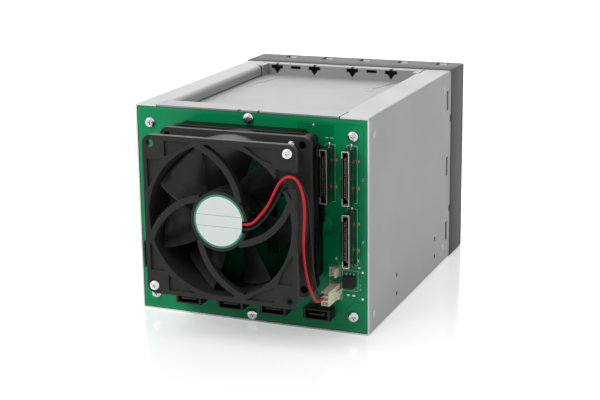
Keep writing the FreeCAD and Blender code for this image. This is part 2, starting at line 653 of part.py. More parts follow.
def top_panel():
    """Sunken top sheet: floor, front and rear steps up to flange height, riveted skirts."""
    left = half_width - LEFT_FLANGE - SHEET_FIT - SHEET / 2
    right = -half_width + RIGHT_FLANGE + SHEET_FIT + SHEET / 2
    strip_left = half_width - LEFT_FLANGE + LIP_BEND_RADIUS - SHEET_FIT
    strip_right = -half_width + RIGHT_FLANGE - LIP_BEND_RADIUS + RELIEF_SLIT
    floor_half = inner_half - PANEL_SIDE_FIT
    wall_y = shell_front + FRONT_STRIP
    step_y = shell_rear - REAR_STRIP
    under = CAGE_HEIGHT - SHEET
    pieces = [
        block(-floor_half, floor_half, wall_y, step_y + SHEET, panel_under, panel_top),
        block(right, left, wall_y, wall_y + SHEET, panel_under, CAGE_HEIGHT),
        block(strip_right, strip_left, shell_front, wall_y + SHEET, under, CAGE_HEIGHT),
        block(right, left, step_y, step_y + SHEET, panel_under, CAGE_HEIGHT),
        block(strip_right, strip_left, step_y + SHEET_FIT, shell_rear - SHEET_FIT, under, CAGE_HEIGHT),
    ]
    for side, edge, strip in ((1, left, strip_left), (-1, right, strip_right)):
        inner = edge - side * SHEET
        corner_rear = lip_front - SHEET_FIT
        pieces.append(span(inner, strip, wall_y, corner_rear, under, CAGE_HEIGHT))
        pieces.append(span(inner, edge, wall_y, corner_rear, panel_under, CAGE_HEIGHT))
    for side in (1, -1):
        pieces.append(span(side * floor_half, side * (floor_half - SHEET), shell_front + SKIRT_FRONT_MARGIN,
                           board_front - 2 * SHEET, panel_under - PANEL_SKIRT, panel_top))
    pieces.append(block(-TAB_WIDTH / 2, TAB_WIDTH / 2, board_front - SHEET, board_front,
                        top_screw_z - SCREW_HEAD_RADIUS - TAB_MARGIN, CAGE_HEIGHT - SHEET / 2))
    panel = fused(pieces)
    cutters = [tapped_hole(0, top_screw_z)]
    for side in (1, -1):
        notch = side * (TAB_WIDTH + PANEL_NOTCH) / 2
        cutters.append(block(notch - PANEL_NOTCH / 2, notch + PANEL_NOTCH / 2, board_front - SHEET,
                             shell_rear + 1, CAGE_HEIGHT - PANEL_NOTCH_DEPTH, CAGE_HEIGHT + 1))
        for y, z in rivet_places():
            if z > CAGE_HEIGHT / 2:
                cutters.append(rod(RIVET_SHANK_RADIUS + RIVET_FIT, (side * (inner_half - 2 * SHEET), y, z),
                                   (side * half_width, y, z)))
    hook_row = [x + CROSS_SHIFT for x in divider_centres]
    for x in hook_row:
        cutters.append(cross_slot(x, wall_y))
    for x in ((hook_row[0] + hook_row[1]) / 2, (hook_row[-2] + hook_row[-1]) / 2):
        cutters.append(block(x - DASH_SLOTS[0] / 2, x + DASH_SLOTS[0] / 2, wall_y - 1, wall_y + SHEET + 1,
                             panel_top + CROSS_RISE - DASH_SLOTS[1] / 2,
                             panel_top + CROSS_RISE + DASH_SLOTS[1] / 2))
    for x, y in LANCES:
        cutters += lance(x, y)
    return without(panel, cutters)


def divider(x):
    """Upright sheet between two trays, with vent windows."""
    low = SHEET + GUIDE_BASE
    high = panel_under - GUIDE_BASE
    plate = block(x - DIVIDER_THICKNESS / 2, x + DIVIDER_THICKNESS / 2, guide_front, guide_rear, low, high)
    windows = []
    step = (guide_rear - guide_front) / DIVIDER_WINDOWS
    for column in range(DIVIDER_WINDOWS):
        window = rounded_plate(0, 0, step - DIVIDER_WINDOW_WEB, high - low - 2 * DIVIDER_WINDOW_MARGIN,
                               DIVIDER_WINDOW_RADIUS, -1, 1)
        window.rotate(V(0, 0, 0), V(0, 0, 1), 90)
        window.translate(V(x, guide_front + step * (column + 0.5), (low + high) / 2))
        windows.append(window)
    return without(plate, windows)


def guide_plate(upper):
    """Moulded guide along the floor or the ceiling: runners for each tray, grips for the dividers."""
    seat = panel_under if upper else SHEET
    sign = -1 if upper else 1

    def layer(x0, x1, y0, y1, reach):
        far = seat + sign * reach
        return block(x0, x1, y0, y1, min(seat, far), max(seat, far))

    half = inner_half - SHEET - 2 * SHEET_FIT if upper else inner_half - 2 * SHEET_FIT
    pieces = [layer(-half, half, guide_front, guide_rear, GUIDE_BASE)]
    for x in tray_centres:
        for runner in (x - rail_width / 2 + RUNNER_INSET, x + rail_width / 2 - RUNNER_INSET):
            pieces.append(layer(runner - RUNNER_WIDTH / 2, runner + RUNNER_WIDTH / 2,
                                guide_front, guide_rear, GUIDE_BASE + runner_height))
    grip = DIVIDER_THICKNESS / 2 + DIVIDER_FIT
    for x in divider_centres:
        for x0, x1 in ((x - grip - GRIP_RIB, x - grip), (x + grip, x + grip + GRIP_RIB)):
            pieces.append(layer(x0, x1, guide_front, guide_rear, GUIDE_BASE + GRIP_RIB_HEIGHT))
    if upper:
        return fused(pieces)
    holes = []
    inward, outward, rise = GUIDE_LUG
    for side in (1, -1):
        wall = side * (half - GUIDE_LUG_THICKNESS)
        for y, z in rivet_places():
            if z < CAGE_HEIGHT / 2:
                ends = (y - inward, y + outward) if y > 0 else (y - outward, y + inward)
                pieces.append(span(side * half, wall, ends[0], ends[1], SHEET, SHEET + rise))
                holes.append(rod(RIVET_SHANK_RADIUS + RIVET_FIT, (wall - side, y, z),
                                 (side * half_width, y, z)))
    return without(fused(pieces), holes)


def rivet(side, y, z):
    """Low domed head outside the wall, shank through the wall and the sheet behind it."""
    head = domed_head(RIVET_HEAD_RADIUS, RIVET_HEAD_HEIGHT, (side * half_width, y, z), (side, 0, 0),
                      1 - RIVET_CROWN / RIVET_HEAD_RADIUS)
    shank = rod(RIVET_SHANK_RADIUS, (side * half_width, y, z),
                (side * (inner_half - SHEET - RIVET_TAIL), y, z))
    return fused([head, shank])


# ---------------------------------------------------------------- bezel
def bezel_ring(y0, y1):
    """The bezel's section: rounded outside, one opening for all the trays."""
    outside = rounded_plate(0, bezel_top / 2, 2 * bezel_half, bezel_top, BEZEL_CORNER, y0, y1)
    return outside.cut(block(-opening_half, opening_half, y0 - 1, y1 + 1, BEZEL_SILL, opening_top))


def spring_windows():
    """Centre X of each spring window."""
    return [x + WINDOW_SHIFT for x in tray_centres]


def bezel_frame():
    """Dark frame that seats on the shell, with hooks, snaps and windows for the tray springs."""
    pieces = [bezel_ring(bezel_front + BEZEL_FACE, shell_front)]
    hook_out = inner_half - HOOK_FIT
    slot_y = shell_front + HOOK_SLOT_SETBACK
    barb_front = slot_y - HOOK_SLOT_WIDTH / 2 + HOOK_FIT
    barb_rear = slot_y + HOOK_SLOT_WIDTH / 2 - HOOK_FIT
    half = HOOK_SLOT_HEIGHT / 2 - HOOK_FIT
    for side in (1, -1):
        inner = side * (hook_out - HOOK_THICKNESS)
        for z in hook_slot_heights:
            pieces.append(span(inner, side * hook_out, shell_front, barb_rear, z - half, z + half))
            pieces.append(span(inner, side * (inner_half + SHEET / 2), barb_front, barb_rear,
                               z - half, z + half))
        for z in snap_heights:
            pieces.append(span(side * inner_half, side * half_width, shell_front - 1,
                               shell_front + SNAP_LENGTH, z - SNAP_WIDTH / 2, z + SNAP_WIDTH / 2))
    cutters = []
    front = bezel_front + WINDOW_FRONT_MARGIN
    rear = front + WINDOW_LENGTH
    seat = bezel_top - WINDOW_DEPTH
    slot_half = SPRING_WIDTH / 2 + SPRING_SIDE_FIT
    for x in spring_windows():
        cutters.append(block(x - WINDOW_WIDTH / 2, x + WINDOW_WIDTH / 2, front, rear, seat, bezel_top + 1))
        cutters.append(block(x - slot_half, x + slot_half, rear - SPRING_THICKNESS - 2 * SPRING_FIT, rear,
                             opening_top - 1, seat + 1))
    return without(fused(pieces), cutters)


def tray_spring(x):
    """Flat steel spring: lies in its window, passes through the top wall, presses towards the tray."""
    front = bezel_front + WINDOW_FRONT_MARGIN + SPRING_FIT
    rear = bezel_front + WINDOW_FRONT_MARGIN + WINDOW_LENGTH - SPRING_FIT
    seat = bezel_top - WINDOW_DEPTH
    half = SPRING_WIDTH / 2
    low = opening_top - SPRING_THICKNESS
    high = seat + SPRING_THICKNESS
    leaf = block(x - half, x + half, front, rear, seat, high)
    web = block(x - half, x + half, rear - SPRING_THICKNESS, rear, low, high)
    foot = block(x - half, x + half, rear - SPRING_THICKNESS, rear + SPRING_FOOT, low, opening_top)
    return fused([leaf, web, foot])


# ---------------------------------------------------------------- trays
def tray_frame(x):
    """Metal carrier: two rails with drive screw slots, joined by a vented cross plate in front."""
    half = rail_width / 2
    rear = board_front - DRIVE_SOCKET_DEPTH - RAIL_REAR_GAP
    front = tray_front_back
    tip = RAIL_TIP_CHAMFER
    pieces = []
    for z in (rail_low, rail_high):
        outline = [(x - half, front, z), (x + half, front, z), (x + half, rear - tip, z),
                   (x + half - tip, rear, z), (x - half + tip, rear, z), (x - half, rear - tip, z)]
        pieces.append(prism(outline, (0, 0, RAIL_THICKNESS)))
    pieces.append(block(x - half, x + half, front, front + RAIL_THICKNESS, rail_low,
                        rail_high + RAIL_THICKNESS))
    cutters = []
    hole_x = x - drive_thickness / 2 + RAIL_HOLE_SIDE
    for step in RAIL_HOLE_STEPS:
        y = rear - RAIL_HOLE_REAR - step
        cutters.append(rod(RAIL_HOLE_RADIUS, (hole_x, y, rail_low - 1),
                           (hole_x, y, rail_high + RAIL_THICKNESS + 1)))
    step = (rail_high - rail_low - RAIL_THICKNESS) / TRAY_WINDOWS
    for row in range(TRAY_WINDOWS):
        z = rail_low + RAIL_THICKNESS + step * (row + 0.5)
        cutters.append(rounded_plate(x, z, rail_width - TRAY_WINDOW_WEB, step - TRAY_WINDOW_WEB,
                                     TRAY_WINDOW_RADIUS, front - 1, front + RAIL_THICKNESS + 1))
    return without(fused(pieces), cutters)


def tray_front(x):
    """Moulded tray front: hollow housing with the lever recess, button pocket, lock and lamp bores."""
    half = tray_front_width / 2
    face = tray_front_face
    height = tray_front_high - tray_front_low
    body = rounded_plate(x, tray_front_low + height / 2, 2 * half, height, TRAY_EDGE_RADIUS,
                         face, tray_front_back)
    cutters = [
        block(x - recess_width / 2, x + recess_width / 2, face - 1, recess_back,
              recess_floor, recess_top),
        block(x - half + TRAY_WALL, x + half - TRAY_WALL, wall_back, tray_front_back + 1,
              tray_front_low + TRAY_WALL, tray_front_high - TRAY_WALL),
        rounded_plate(x, button_z, BUTTON_WIDTH + 2 * BUTTON_FIT, BUTTON_HEIGHT + 2 * BUTTON_FIT,
                      BUTTON_CORNER + BUTTON_FIT, face - 1, wall_back + 1),
        rod(LOCK_RADIUS + LOCK_FIT, (x, face - 1, lock_z), (x, wall_back + 1, lock_z)),
    ]
    pin_reach = recess_width / 2 - LEVER_SIDE_GAP + HINGE_PIN_LENGTH + HINGE_END_PLAY
    cutters.append(rod(HINGE_PIN_RADIUS + HINGE_FIT, (x - pin_reach, hinge_y, hinge_z),
                       (x + pin_reach, hinge_y, hinge_z)))
    pipe_x = x - half + PIPE_INSET
    for z in pipe_heights:
        cutters.append(rod(PIPE_RADIUS + PIPE_FIT, (pipe_x, face - 1, z), (pipe_x, wall_back + 1, z)))
    pitch = (recess_top - recess_floor) / (VENT_COUNT + 1)
    for row in range(VENT_COUNT):
        z = recess_floor + pitch * (row + 1)
        cutters.append(rounded_plate(x, z, LEVER_SLOT_WIDTH, pitch / 2, VENT_RADIUS, recess_back - 1,
                                     wall_back + 1))
    return without(body, cutters)


def bowed_slab(front, back, low, high, width):
    """A slab along X whose front face is an arc, bowed forwards between its ends."""
    near = front + LEVER_BOW
    edges = [
        Part.Arc(V(0, near, low), V(0, front, (low + high) / 2), V(0, near, high)).toShape(),
        Part.LineSegment(V(0, near, high), V(0, back, high)).toShape(),
        Part.LineSegment(V(0, back, high), V(0, back, low)).toShape(),
        Part.LineSegment(V(0, back, low), V(0, near, low)).toShape(),
    ]
    slab = Part.Face(Part.Wire(edges)).extrude(V(width, 0, 0))
    slab.translate(V(-width / 2, 0, 0))
    return slab


def lever(x):
    """Ejector lever: bowed front skin with side ribs, vent slots, catch nose and hinge barrel."""
    half = recess_width / 2 - LEVER_SIDE_GAP
    face = tray_front_face + LEVER_FACE_SETBACK
    back = face + LEVER_BOW + LEVER_RIB_DEPTH
    top = recess_top - LEVER_TOP_GAP
    low = hinge_z + LEVER_FOOT_GAP
    body = bowed_slab(face, back, low, top, 2 * half)
    hollow = bowed_slab(face + LEVER_SKIN, back + 1, low + LEVER_FOOT, top - LEVER_SKIN,
                        2 * (half - LEVER_SKIN))
    body = body.cut(hollow)
    pin_end = half + HINGE_PIN_LENGTH
    barrel = rod(LEVER_BARREL_RADIUS, (-half, hinge_y, hinge_z), (half, hinge_y, hinge_z))
    pins = rod(HINGE_PIN_RADIUS, (-pin_end, hinge_y, hinge_z), (pin_end, hinge_y, hinge_z))
    nose = block(-LEVER_NOSE_WIDTH / 2, LEVER_NOSE_WIDTH / 2, back - LEVER_SKIN, back + LEVER_NOSE,
                 top - LEVER_NOSE_HEIGHT, top)
    body = fused([body, barrel, pins, nose])
    slots = []
    middle = (low + top) / 2 - LEVER_SLOT_DROP
    for index in range(LEVER_SLOT_COUNT):
        z = middle + (index - (LEVER_SLOT_COUNT - 1) / 2) * LEVER_SLOT_PITCH
        slots.append(block(-LEVER_SLOT_WIDTH / 2, LEVER_SLOT_WIDTH / 2, face - 1,
                           face + LEVER_BOW + 2 * LEVER_SKIN, z - LEVER_SLOT_HEIGHT / 2,
                           z + LEVER_SLOT_HEIGHT / 2))
    body = without(body, slots)
    body.translate(V(x, 0, 0))
    return body


def release_button(x):
    """Push button that frees the lever; a flange behind the wall keeps it in."""
    front = tray_front_face - BUTTON_PROUD
    back = wall_back + BUTTON_FIT + BUTTON_FLANGE_THICKNESS
    cap = rounded_plate(x, button_z, BUTTON_WIDTH, BUTTON_HEIGHT, BUTTON_CORNER, front, back)
    flange = rounded_plate(x, button_z, BUTTON_WIDTH + 2 * BUTTON_FLANGE, BUTTON_HEIGHT + 2 * BUTTON_FLANGE,
                           BUTTON_CORNER, wall_back + BUTTON_FIT, back)
    dish = Part.makeSphere(BUTTON_DISH_RADIUS, V(x, front - BUTTON_DISH_RADIUS + BUTTON_DISH_DEPTH, button_z))
    return fused([cap, flange]).cut(dish)


def key_lock(x):
    """Lock barrel with a key slot in front and a cam behind the wall."""
    front = tray_front_face - LOCK_PROUD
    cam_front = wall_back + BUTTON_FIT
    cam_back = cam_front + LOCK_CAM_THICKNESS
    barrel = rod(LOCK_RADIUS, (x, front, lock_z), (x, cam_back, lock_z))
    cam = block(x - LOCK_CAM_WIDTH / 2, x + LOCK_CAM_WIDTH / 2, cam_front, cam_back,
                lock_z - LOCK_CAM_LENGTH, lock_z)
    slot = block(x - KEY_SLOT_WIDTH / 2, x + KEY_SLOT_WIDTH / 2, front - 1, front + KEY_SLOT_DEPTH,
                 lock_z - KEY_SLOT_LENGTH / 2, lock_z + KEY_SLOT_LENGTH / 2)
    return fused([barrel, cam]).cut(slot)


def light_pipes(x):
    """Two clear rods that carry the lamps' light to the tray front."""
    front = tray_front_face - PIPE_PROUD
    back = tray_front_back - PIPE_REAR_GAP
    pipe_x = x - tray_front_width / 2 + PIPE_INSET
    return group([rod(PIPE_RADIUS, (pipe_x, front, z), (pipe_x, back, z)) for z in pipe_heights])


# ---------------------------------------------------------------- board
def board_screw_places():
    """X and Z of the six board screws."""
    corners = [(side * corner_screw_x, z) for side in (1, -1) for z in corner_screw_heights]
    return corners + [(0.0, top_screw_z), (0.0, BOARD_SCREW_BOTTOM)]


def backplane_board():
    """Circuit board across the back, with screw holes and vents between the drive sockets."""
    half = inner_half - BOARD_EDGE_FIT
    board = block(-half, half, board_front, board_rear, SHEET + BOARD_EDGE_FIT,
                  CAGE_HEIGHT - SHEET - BOARD_EDGE_FIT)
    cutters = [rod(BOARD_HOLE_RADIUS, (x, board_front - 1, z), (x, board_rear + 1, z))
               for x, z in board_screw_places() + bracket_screw_places()]
    for x in divider_centres:
        cutters.append(rounded_plate(x, FAN_Z, VENT_SLOT_WIDTH, VENT_SLOT_HEIGHT, VENT_SLOT_RADIUS,
                                     board_front - 1, board_rear + 1))
    return without(board, cutters)


def pan_screw(x, z):
    """Pan head screw through the board into its tab."""
    head = domed_head(SCREW_HEAD_RADIUS, SCREW_HEAD_HEIGHT, (x, board_rear, z), (0, 1, 0), SCREW_CROWN)
    shank = rod(SCREW_SHANK_RADIUS, (x, board_rear, z), (x, board_rear - SCREW_SHANK_LENGTH, z))
    return fused([head, shank])


def edge_socket(length, width, depth):
    """Edge connector along Z on the XZ plane, standing up in +Y: walled cavity with an L tongue."""
    body = block(-width / 2, width / 2, 0, depth, -length / 2, length / 2)
    inner_width = width - 2 * SOCKET_WALL
    floor_y = depth - SOCKET_CAVITY
    cavity = block(-inner_width / 2, inner_width / 2, floor_y, depth + 1,
                   -length / 2 + SOCKET_END_WALL, length / 2 - SOCKET_END_WALL)
    half_tongue = length / 2 - TONGUE_MARGIN
    tongue = block(-TONGUE_THICKNESS / 2, TONGUE_THICKNESS / 2, floor_y - TONGUE_DROP, depth - TONGUE_DROP,
                   -half_tongue, half_tongue)
    hook = block(-TONGUE_THICKNESS / 2 - TONGUE_HOOK[0], TONGUE_THICKNESS / 2, floor_y - TONGUE_DROP,
                 depth - TONGUE_DROP, -half_tongue, -half_tongue + TONGUE_HOOK[1])
    return fused([body.cut(cavity), tongue, hook])


def placed_socket(shape, x, z, turn):
    """A socket set on the board's rear face, turned about Y."""
    copy = shape.copy()
    copy.rotate(V(0, 0, 0), V(0, 1, 0), turn)
    copy.translate(V(x, board_rear, z))
    return copy


def power_sockets():
    """Three upright power sockets at the board's edge, in the height between screw and regulator."""
    socket = edge_socket(POWER_SOCKET_LENGTH, POWER_SOCKET_WIDTH, POWER_SOCKET_DEPTH)
    low = REGULATOR_PLACE[1] + REGULATOR_SIZE / 2 + REGULATOR_LEAD[2]
    high = corner_screw_heights[1] - SCREW_HEAD_RADIUS
    free = high - low - 2 * POWER_SOCKET_LENGTH
    upper_z = high - POWER_SOCKET_GAPS[0] * free - POWER_SOCKET_LENGTH / 2
    lower_z = low + POWER_SOCKET_GAPS[1] * free + POWER_SOCKET_LENGTH / 2
    inner_x = BRACKET_RIGHT - POWER_SOCKET_COLUMNS[0]
    outer_x = -inner_half + POWER_SOCKET_COLUMNS[1]
    places = [(inner_x, upper_z), (outer_x, upper_z), (outer_x, lower_z)]
    return group([placed_socket(socket, x, z, 0) for x, z in places])


def data_sockets():
    """Four data sockets along the lower edge and one upright beside the fan."""
    socket = edge_socket(DATA_SOCKET_LENGTH, DATA_SOCKET_WIDTH, DATA_SOCKET_DEPTH)
    row = [placed_socket(socket, x + DATA_SOCKET_X, DATA_SOCKET_Z, 90) for x in tray_centres[:-1]]
    from_wall, z = DATA_SOCKET_UPRIGHT
    return group(row + [placed_socket(socket, inner_half - from_wall, z, 0)])


def drive_socket(x):
    """Combined power and data socket that a drive plugs into, on the board's front face."""
    front = board_front - DRIVE_SOCKET_DEPTH
    half = DRIVE_SOCKET_WIDTH / 2
    half_slot = DRIVE_SOCKET_SLOT[0] / 2
    floor_y = front + DRIVE_SOCKET_SLOT[1]
    low = DRIVE_SOCKET_Z - DRIVE_SOCKET_LENGTH / 2
    high = DRIVE_SOCKET_Z + DRIVE_SOCKET_LENGTH / 2
    key = low + DRIVE_SOCKET_KEY[0]
    x = x + DRIVE_SOCKET_SIDE
    body = block(x - half, x + half, front, board_front, low, high)
    slot = block(x - half_slot, x + half_slot, front - 1, floor_y, low + DRIVE_SOCKET_END,
                 high - DRIVE_SOCKET_END)
    notch = block(x - half_slot, x + half + 1, front - 1, floor_y, key, key + DRIVE_SOCKET_KEY[1])
    return without(body, [slot, notch])


def fan_header():
    """Three pin fan header: base and locking ramp."""
    x, z = FAN_HEADER_PLACE
    half_w = FAN_HEADER_WIDTH / 2
    half_h = FAN_HEADER_HEIGHT / 2
    half_ramp = (FAN_PLUG_RIB_SPREAD - FAN_PLUG_RIB) / 2 - FAN_PLUG_FIT
    ramp_face = x - FAN_PLUG_WIDTH / 2 - FAN_PLUG_FIT
    base = block(x - half_w, x + half_w, board_rear, board_rear + FAN_HEADER_BASE, z - half_h, z + half_h)
    ramp = block(ramp_face - FAN_HEADER_RAMP[0], ramp_face, board_rear, board_rear + FAN_HEADER_RAMP[1],
                 z - half_ramp, z + half_ramp)
    return fused([base, ramp])


def fan_plug():
    """Fan lead's plug, pushed on to the header."""
    x, z = FAN_HEADER_PLACE
    front = board_rear + FAN_HEADER_BASE
    rear = front + FAN_PLUG_LENGTH
    side = x - FAN_PLUG_WIDTH / 2
    half_h = FAN_PLUG_HEIGHT / 2
    body = block(side, side + FAN_PLUG_WIDTH, front, rear, z - half_h, z + half_h)
    ribs = [block(side - FAN_PLUG_RIB_HEIGHT, side, front, rear - FAN_PLUG_RIB_MARGIN,
                  z + shift - FAN_PLUG_RIB / 2, z + shift + FAN_PLUG_RIB / 2)
            for shift in (-FAN_PLUG_RIB_SPREAD / 2, FAN_PLUG_RIB_SPREAD / 2)]
    return fused([body] + ribs)


def pin_header():
    """Two pin header for an outside lamp or sounder."""
    x, z = AUX_HEADER_PLACE
    half = AUX_HEADER_SIZE / 2
    pin = PIN_THICKNESS / 2
    pin_x = x + AUX_PIN_SHIFT
    pieces = [
        block(x - half, x + half, board_rear, board_rear + AUX_HEADER_BASE, z - half, z + half),
        block(x - half, x - half + AUX_HEADER_WALL[0], board_rear, board_rear + AUX_HEADER_WALL[1],
              z - half, z + half),
    ]
    for pin_z in (z - AUX_PIN_SPREAD / 2, z + AUX_PIN_SPREAD / 2):
        pieces.append(block(pin_x - pin, pin_x + pin, board_rear, board_rear + AUX_PIN_HEIGHT,
                            pin_z - pin, pin_z + pin))
    return fused(pieces)


def regulator():
    """Square black part with three leads at each end."""
    beyond, z = REGULATOR_PLACE
    x = FAN_HEADER_PLACE[0] - beyond
    half = REGULATOR_SIZE / 2
    width, thickness, reach = REGULATOR_LEAD
    pieces = [block(x - half, x + half, board_rear + REGULATOR_LIFT, board_rear + REGULATOR_HEIGHT,
                    z - half, z + half)]
    for lead_x in (x - REGULATOR_LEAD_PITCH, x, x + REGULATOR_LEAD_PITCH):
        pieces.append(block(lead_x - width / 2, lead_x + width / 2, board_rear, board_rear + thickness,
                            z - half - reach, z + half + reach))
    return fused(pieces)


# ---------------------------------------------------------------- fan
def fan_corners():
    """X and Z of the fan's four mounting holes, clockwise from the upper +X one."""
    step = FAN_HOLE_SPACING / 2
    return [(FAN_X + step, FAN_Z + step), (FAN_X - step, FAN_Z + step),
            (FAN_X - step, FAN_Z - step), (FAN_X + step, FAN_Z - step)]


def bracket_screw_places():
    """X and Z of the four screws that hold the fan's bracket to the board."""
    left = BRACKET_LEFT - BRACKET_SCREW_INSET
    right = BRACKET_RIGHT + BRACKET_SCREW_INSET
    top = BRACKET_TOP - BRACKET_SCREW_HIGH
    bottom = BRACKET_BOTTOM + BRACKET_SCREW_LOW
    return [(left, top), (right, top), (right, bottom), (left, bottom)]


def bracket_screw(x, z):
    """Screw from the board's front face into a boss of the bracket."""
    head = domed_head(BRACKET_SCREW_HEAD_RADIUS, BRACKET_SCREW_HEAD_HEIGHT, (x, board_front, z), (0, -1, 0),
                      SCREW_CROWN)
    shank = rod(SCREW_SHANK_RADIUS, (x, board_front, z), (x, board_front + BRACKET_SCREW_LENGTH, z))
    return fused([head, shank])


def bracket_collar(inset, start, end):
    """Eight-sided block of the bracket's outline, drawn in by an inset."""
    left = BRACKET_LEFT - inset
    right = BRACKET_RIGHT + inset
    top = BRACKET_TOP - inset
    bottom = BRACKET_BOTTOM + inset
    cut = BRACKET_CHAMFER
    points = [(left - cut, start, top), (right + cut, start, top), (right, start, top - cut),
              (right, start, bottom + cut), (right + cut, start, bottom), (left - cut, start, bottom),
              (left, start, bottom + cut), (left, start, top - cut)]
    return prism(points, (0, end - start, 0))


def fan_bracket():
    """Black carrier between board and fan: chamfered collar, cover plate, posts and air ring."""
    rear = board_rear + BRACKET_DEPTH
    plate_front = rear - BRACKET_WALL
    shell = bracket_collar(0, board_rear, rear).cut(bracket_collar(BRACKET_WALL, board_rear - 1, plate_front))
    plate_size = FAN_SIZE - 2 * BRACKET_PLATE_MARGIN
    pieces = [
        shell,
        rounded_plate(FAN_X, FAN_Z, plate_size, plate_size, FAN_CORNER_RADIUS, plate_front, rear),
        rod(FAN_BORE_RADIUS + BRACKET_RING_WALL, (FAN_X, plate_front, FAN_Z), (FAN_X, fan_front, FAN_Z)),
    ]
    cutters = [rod(FAN_BORE_RADIUS, (FAN_X, board_rear - 1, FAN_Z), (FAN_X, fan_front + 1, FAN_Z))]
    for x, z in fan_corners():
        pieces.append(rod(BRACKET_POST_RADIUS, (x, plate_front, z), (x, fan_front, z)))
        cutters.append(rod(FAN_SCREW_RADIUS + SCREW_FIT, (x, fan_front - FAN_SCREW_BITE - 1, z),
                           (x, fan_front + 1, z)))
    for x, z in bracket_screw_places():
        pieces.append(rod(BRACKET_BOSS_RADIUS, (x, board_rear, z), (x, rear, z)))
        cutters.append(rod(SCREW_SHANK_RADIUS + SCREW_FIT, (x, board_rear - 1, z),
                           (x, board_front + BRACKET_SCREW_LENGTH + 1, z)))
    return without(fused(pieces), cutters)


def strut(turn):
    """Curved strut of the fan guard, from the motor base out to the bore."""
    outer = FAN_BORE_RADIUS + FAN_DUCT_WALL / 2
    tip = math.radians(STRUT_TIP_ANGLE)
    stations = [V(STRUT_ROOT[0], 0, STRUT_ROOT[1]), V(STRUT_WAIST[0], 0, STRUT_WAIST[1]),
                V(-outer * math.cos(tip), 0, outer * math.sin(tip))]
    arc = Part.Arc(*stations).toShape().Curve
    rims = []
    for radius in (arc.Radius - STRUT_WIDTH / 2, arc.Radius + STRUT_WIDTH / 2):
        rims.append([arc.Center + (p - arc.Center).normalize() * radius for p in stations])
    inner, outer = rims
    edges = [
        Part.Arc(*inner).toShape(),
        Part.LineSegment(inner[2], outer[2]).toShape(),
        Part.Arc(*reversed(outer)).toShape(),
        Part.LineSegment(outer[0], inner[0]).toShape(),
    ]
    bar = Part.Face(Part.Wire(edges)).extrude(V(0, -STRUT_DEPTH, 0))
    bar.rotate(V(0, 0, 0), V(0, 1, 0), turn)
    bar.translate(V(FAN_X, fan_rear, FAN_Z))
    return bar


def corner_pockets(index):
    """Shallow four-sided pockets on both sides of a mounting hole, mirrored about the diagonal."""
    rim = FAN_SIZE / 2 - POCKET_RIM
    corner = rim - POCKET_CORNER
    outline = [(rim, corner), (rim, POCKET_START), (rim - POCKET_WIDTHS[0], POCKET_SHALLOW),
               (rim - POCKET_WIDTHS[1], corner)]
    pockets = []
    for mirrored in (False, True):
        points = [(b, 0, a) if mirrored else (a, 0, b) for a, b in outline]
        pocket = prism(points, (0, POCKET_RECESS + 1, 0))
        pocket.rotate(V(0, 0, 0), V(0, 1, 0), 90 * index)
        pocket.translate(V(FAN_X, fan_rear - POCKET_RECESS, FAN_Z))
        pockets.append(pocket)
    return pockets


def wire_exit():
    """Cutter for the groove where the wires leave the motor base."""
    edge = FAN_X - HUB_BASE_RADIUS
    return block(edge - EXIT_GROOVE_REACH, edge + EXIT_GROOVE_DEPTH, fan_rear - EXIT_GROOVE_DEPTH,
                 fan_rear + 1, FAN_Z - EXIT_GROOVE_LOW, FAN_Z + EXIT_GROOVE_HIGH)


def wire_notch():
    """Cutter for the tapered notch where the wires cross the flange."""
    low = fan_rear - FAN_NOTCH_DEPTH
    points = [(FAN_X - FAN_NOTCH_START, low, FAN_Z + FAN_NOTCH_NECK),
              (FAN_X - FAN_NOTCH_START, low, FAN_Z + FAN_NOTCH_HIGH),
              (FAN_X - FAN_SIZE / 2 - 1, low, FAN_Z + FAN_NOTCH_HIGH),
              (FAN_X - FAN_SIZE / 2 - 1, low, FAN_Z + FAN_NOTCH_LOW),
              (FAN_X - FAN_NOTCH_BEND, low, FAN_Z + FAN_NOTCH_LOW)]
    return prism(points, (0, FAN_NOTCH_DEPTH + 1, 0))


def fan_frame():
    """Fan housing: two flanges, round duct, swept struts, motor base and bearing tube."""
    pieces = [rod(FAN_BORE_RADIUS + FAN_DUCT_WALL, (FAN_X, fan_front, FAN_Z), (FAN_X, fan_rear, FAN_Z))]
    for start in (fan_front, fan_rear - FAN_FLANGE):
        pieces.append(rounded_plate(FAN_X, FAN_Z, FAN_SIZE, FAN_SIZE, FAN_CORNER_RADIUS, start,
                                    start + FAN_FLANGE))
    cutters = [rod(FAN_BORE_RADIUS, (FAN_X, fan_front - 1, FAN_Z), (FAN_X, fan_rear + 1, FAN_Z)),
               wire_notch()]
    for x, z in fan_corners():
        cutters.append(rod(FAN_HOLE_RADIUS, (x, fan_front - 1, z), (x, fan_rear + 1, z)))
    for index in range(4):
        cutters += corner_pockets(index)
    body = without(fused(pieces), cutters)
    base_front = fan_rear - HUB_BASE_DEPTH
    base = rod(HUB_BASE_RADIUS, (FAN_X, base_front, FAN_Z), (FAN_X, fan_rear, FAN_Z))
    tube = rod(TUBE_RADIUS, (FAN_X, base_front - TUBE_LENGTH, FAN_Z), (FAN_X, base_front, FAN_Z))
    struts = [strut(360 / STRUT_COUNT * index) for index in range(STRUT_COUNT)]
    body = fused([body, base, tube] + struts)
    bore = rod(BUSH_RADIUS, (FAN_X, base_front - TUBE_LENGTH - 1, FAN_Z),
               (FAN_X, base_front + TUBE_CAP, FAN_Z))
    label_seat = rod(LABEL_RADIUS, (FAN_X, fan_rear - LABEL_THICKNESS, FAN_Z), (FAN_X, fan_rear + 1, FAN_Z))
    return without(body, [bore, wire_exit(), label_seat])


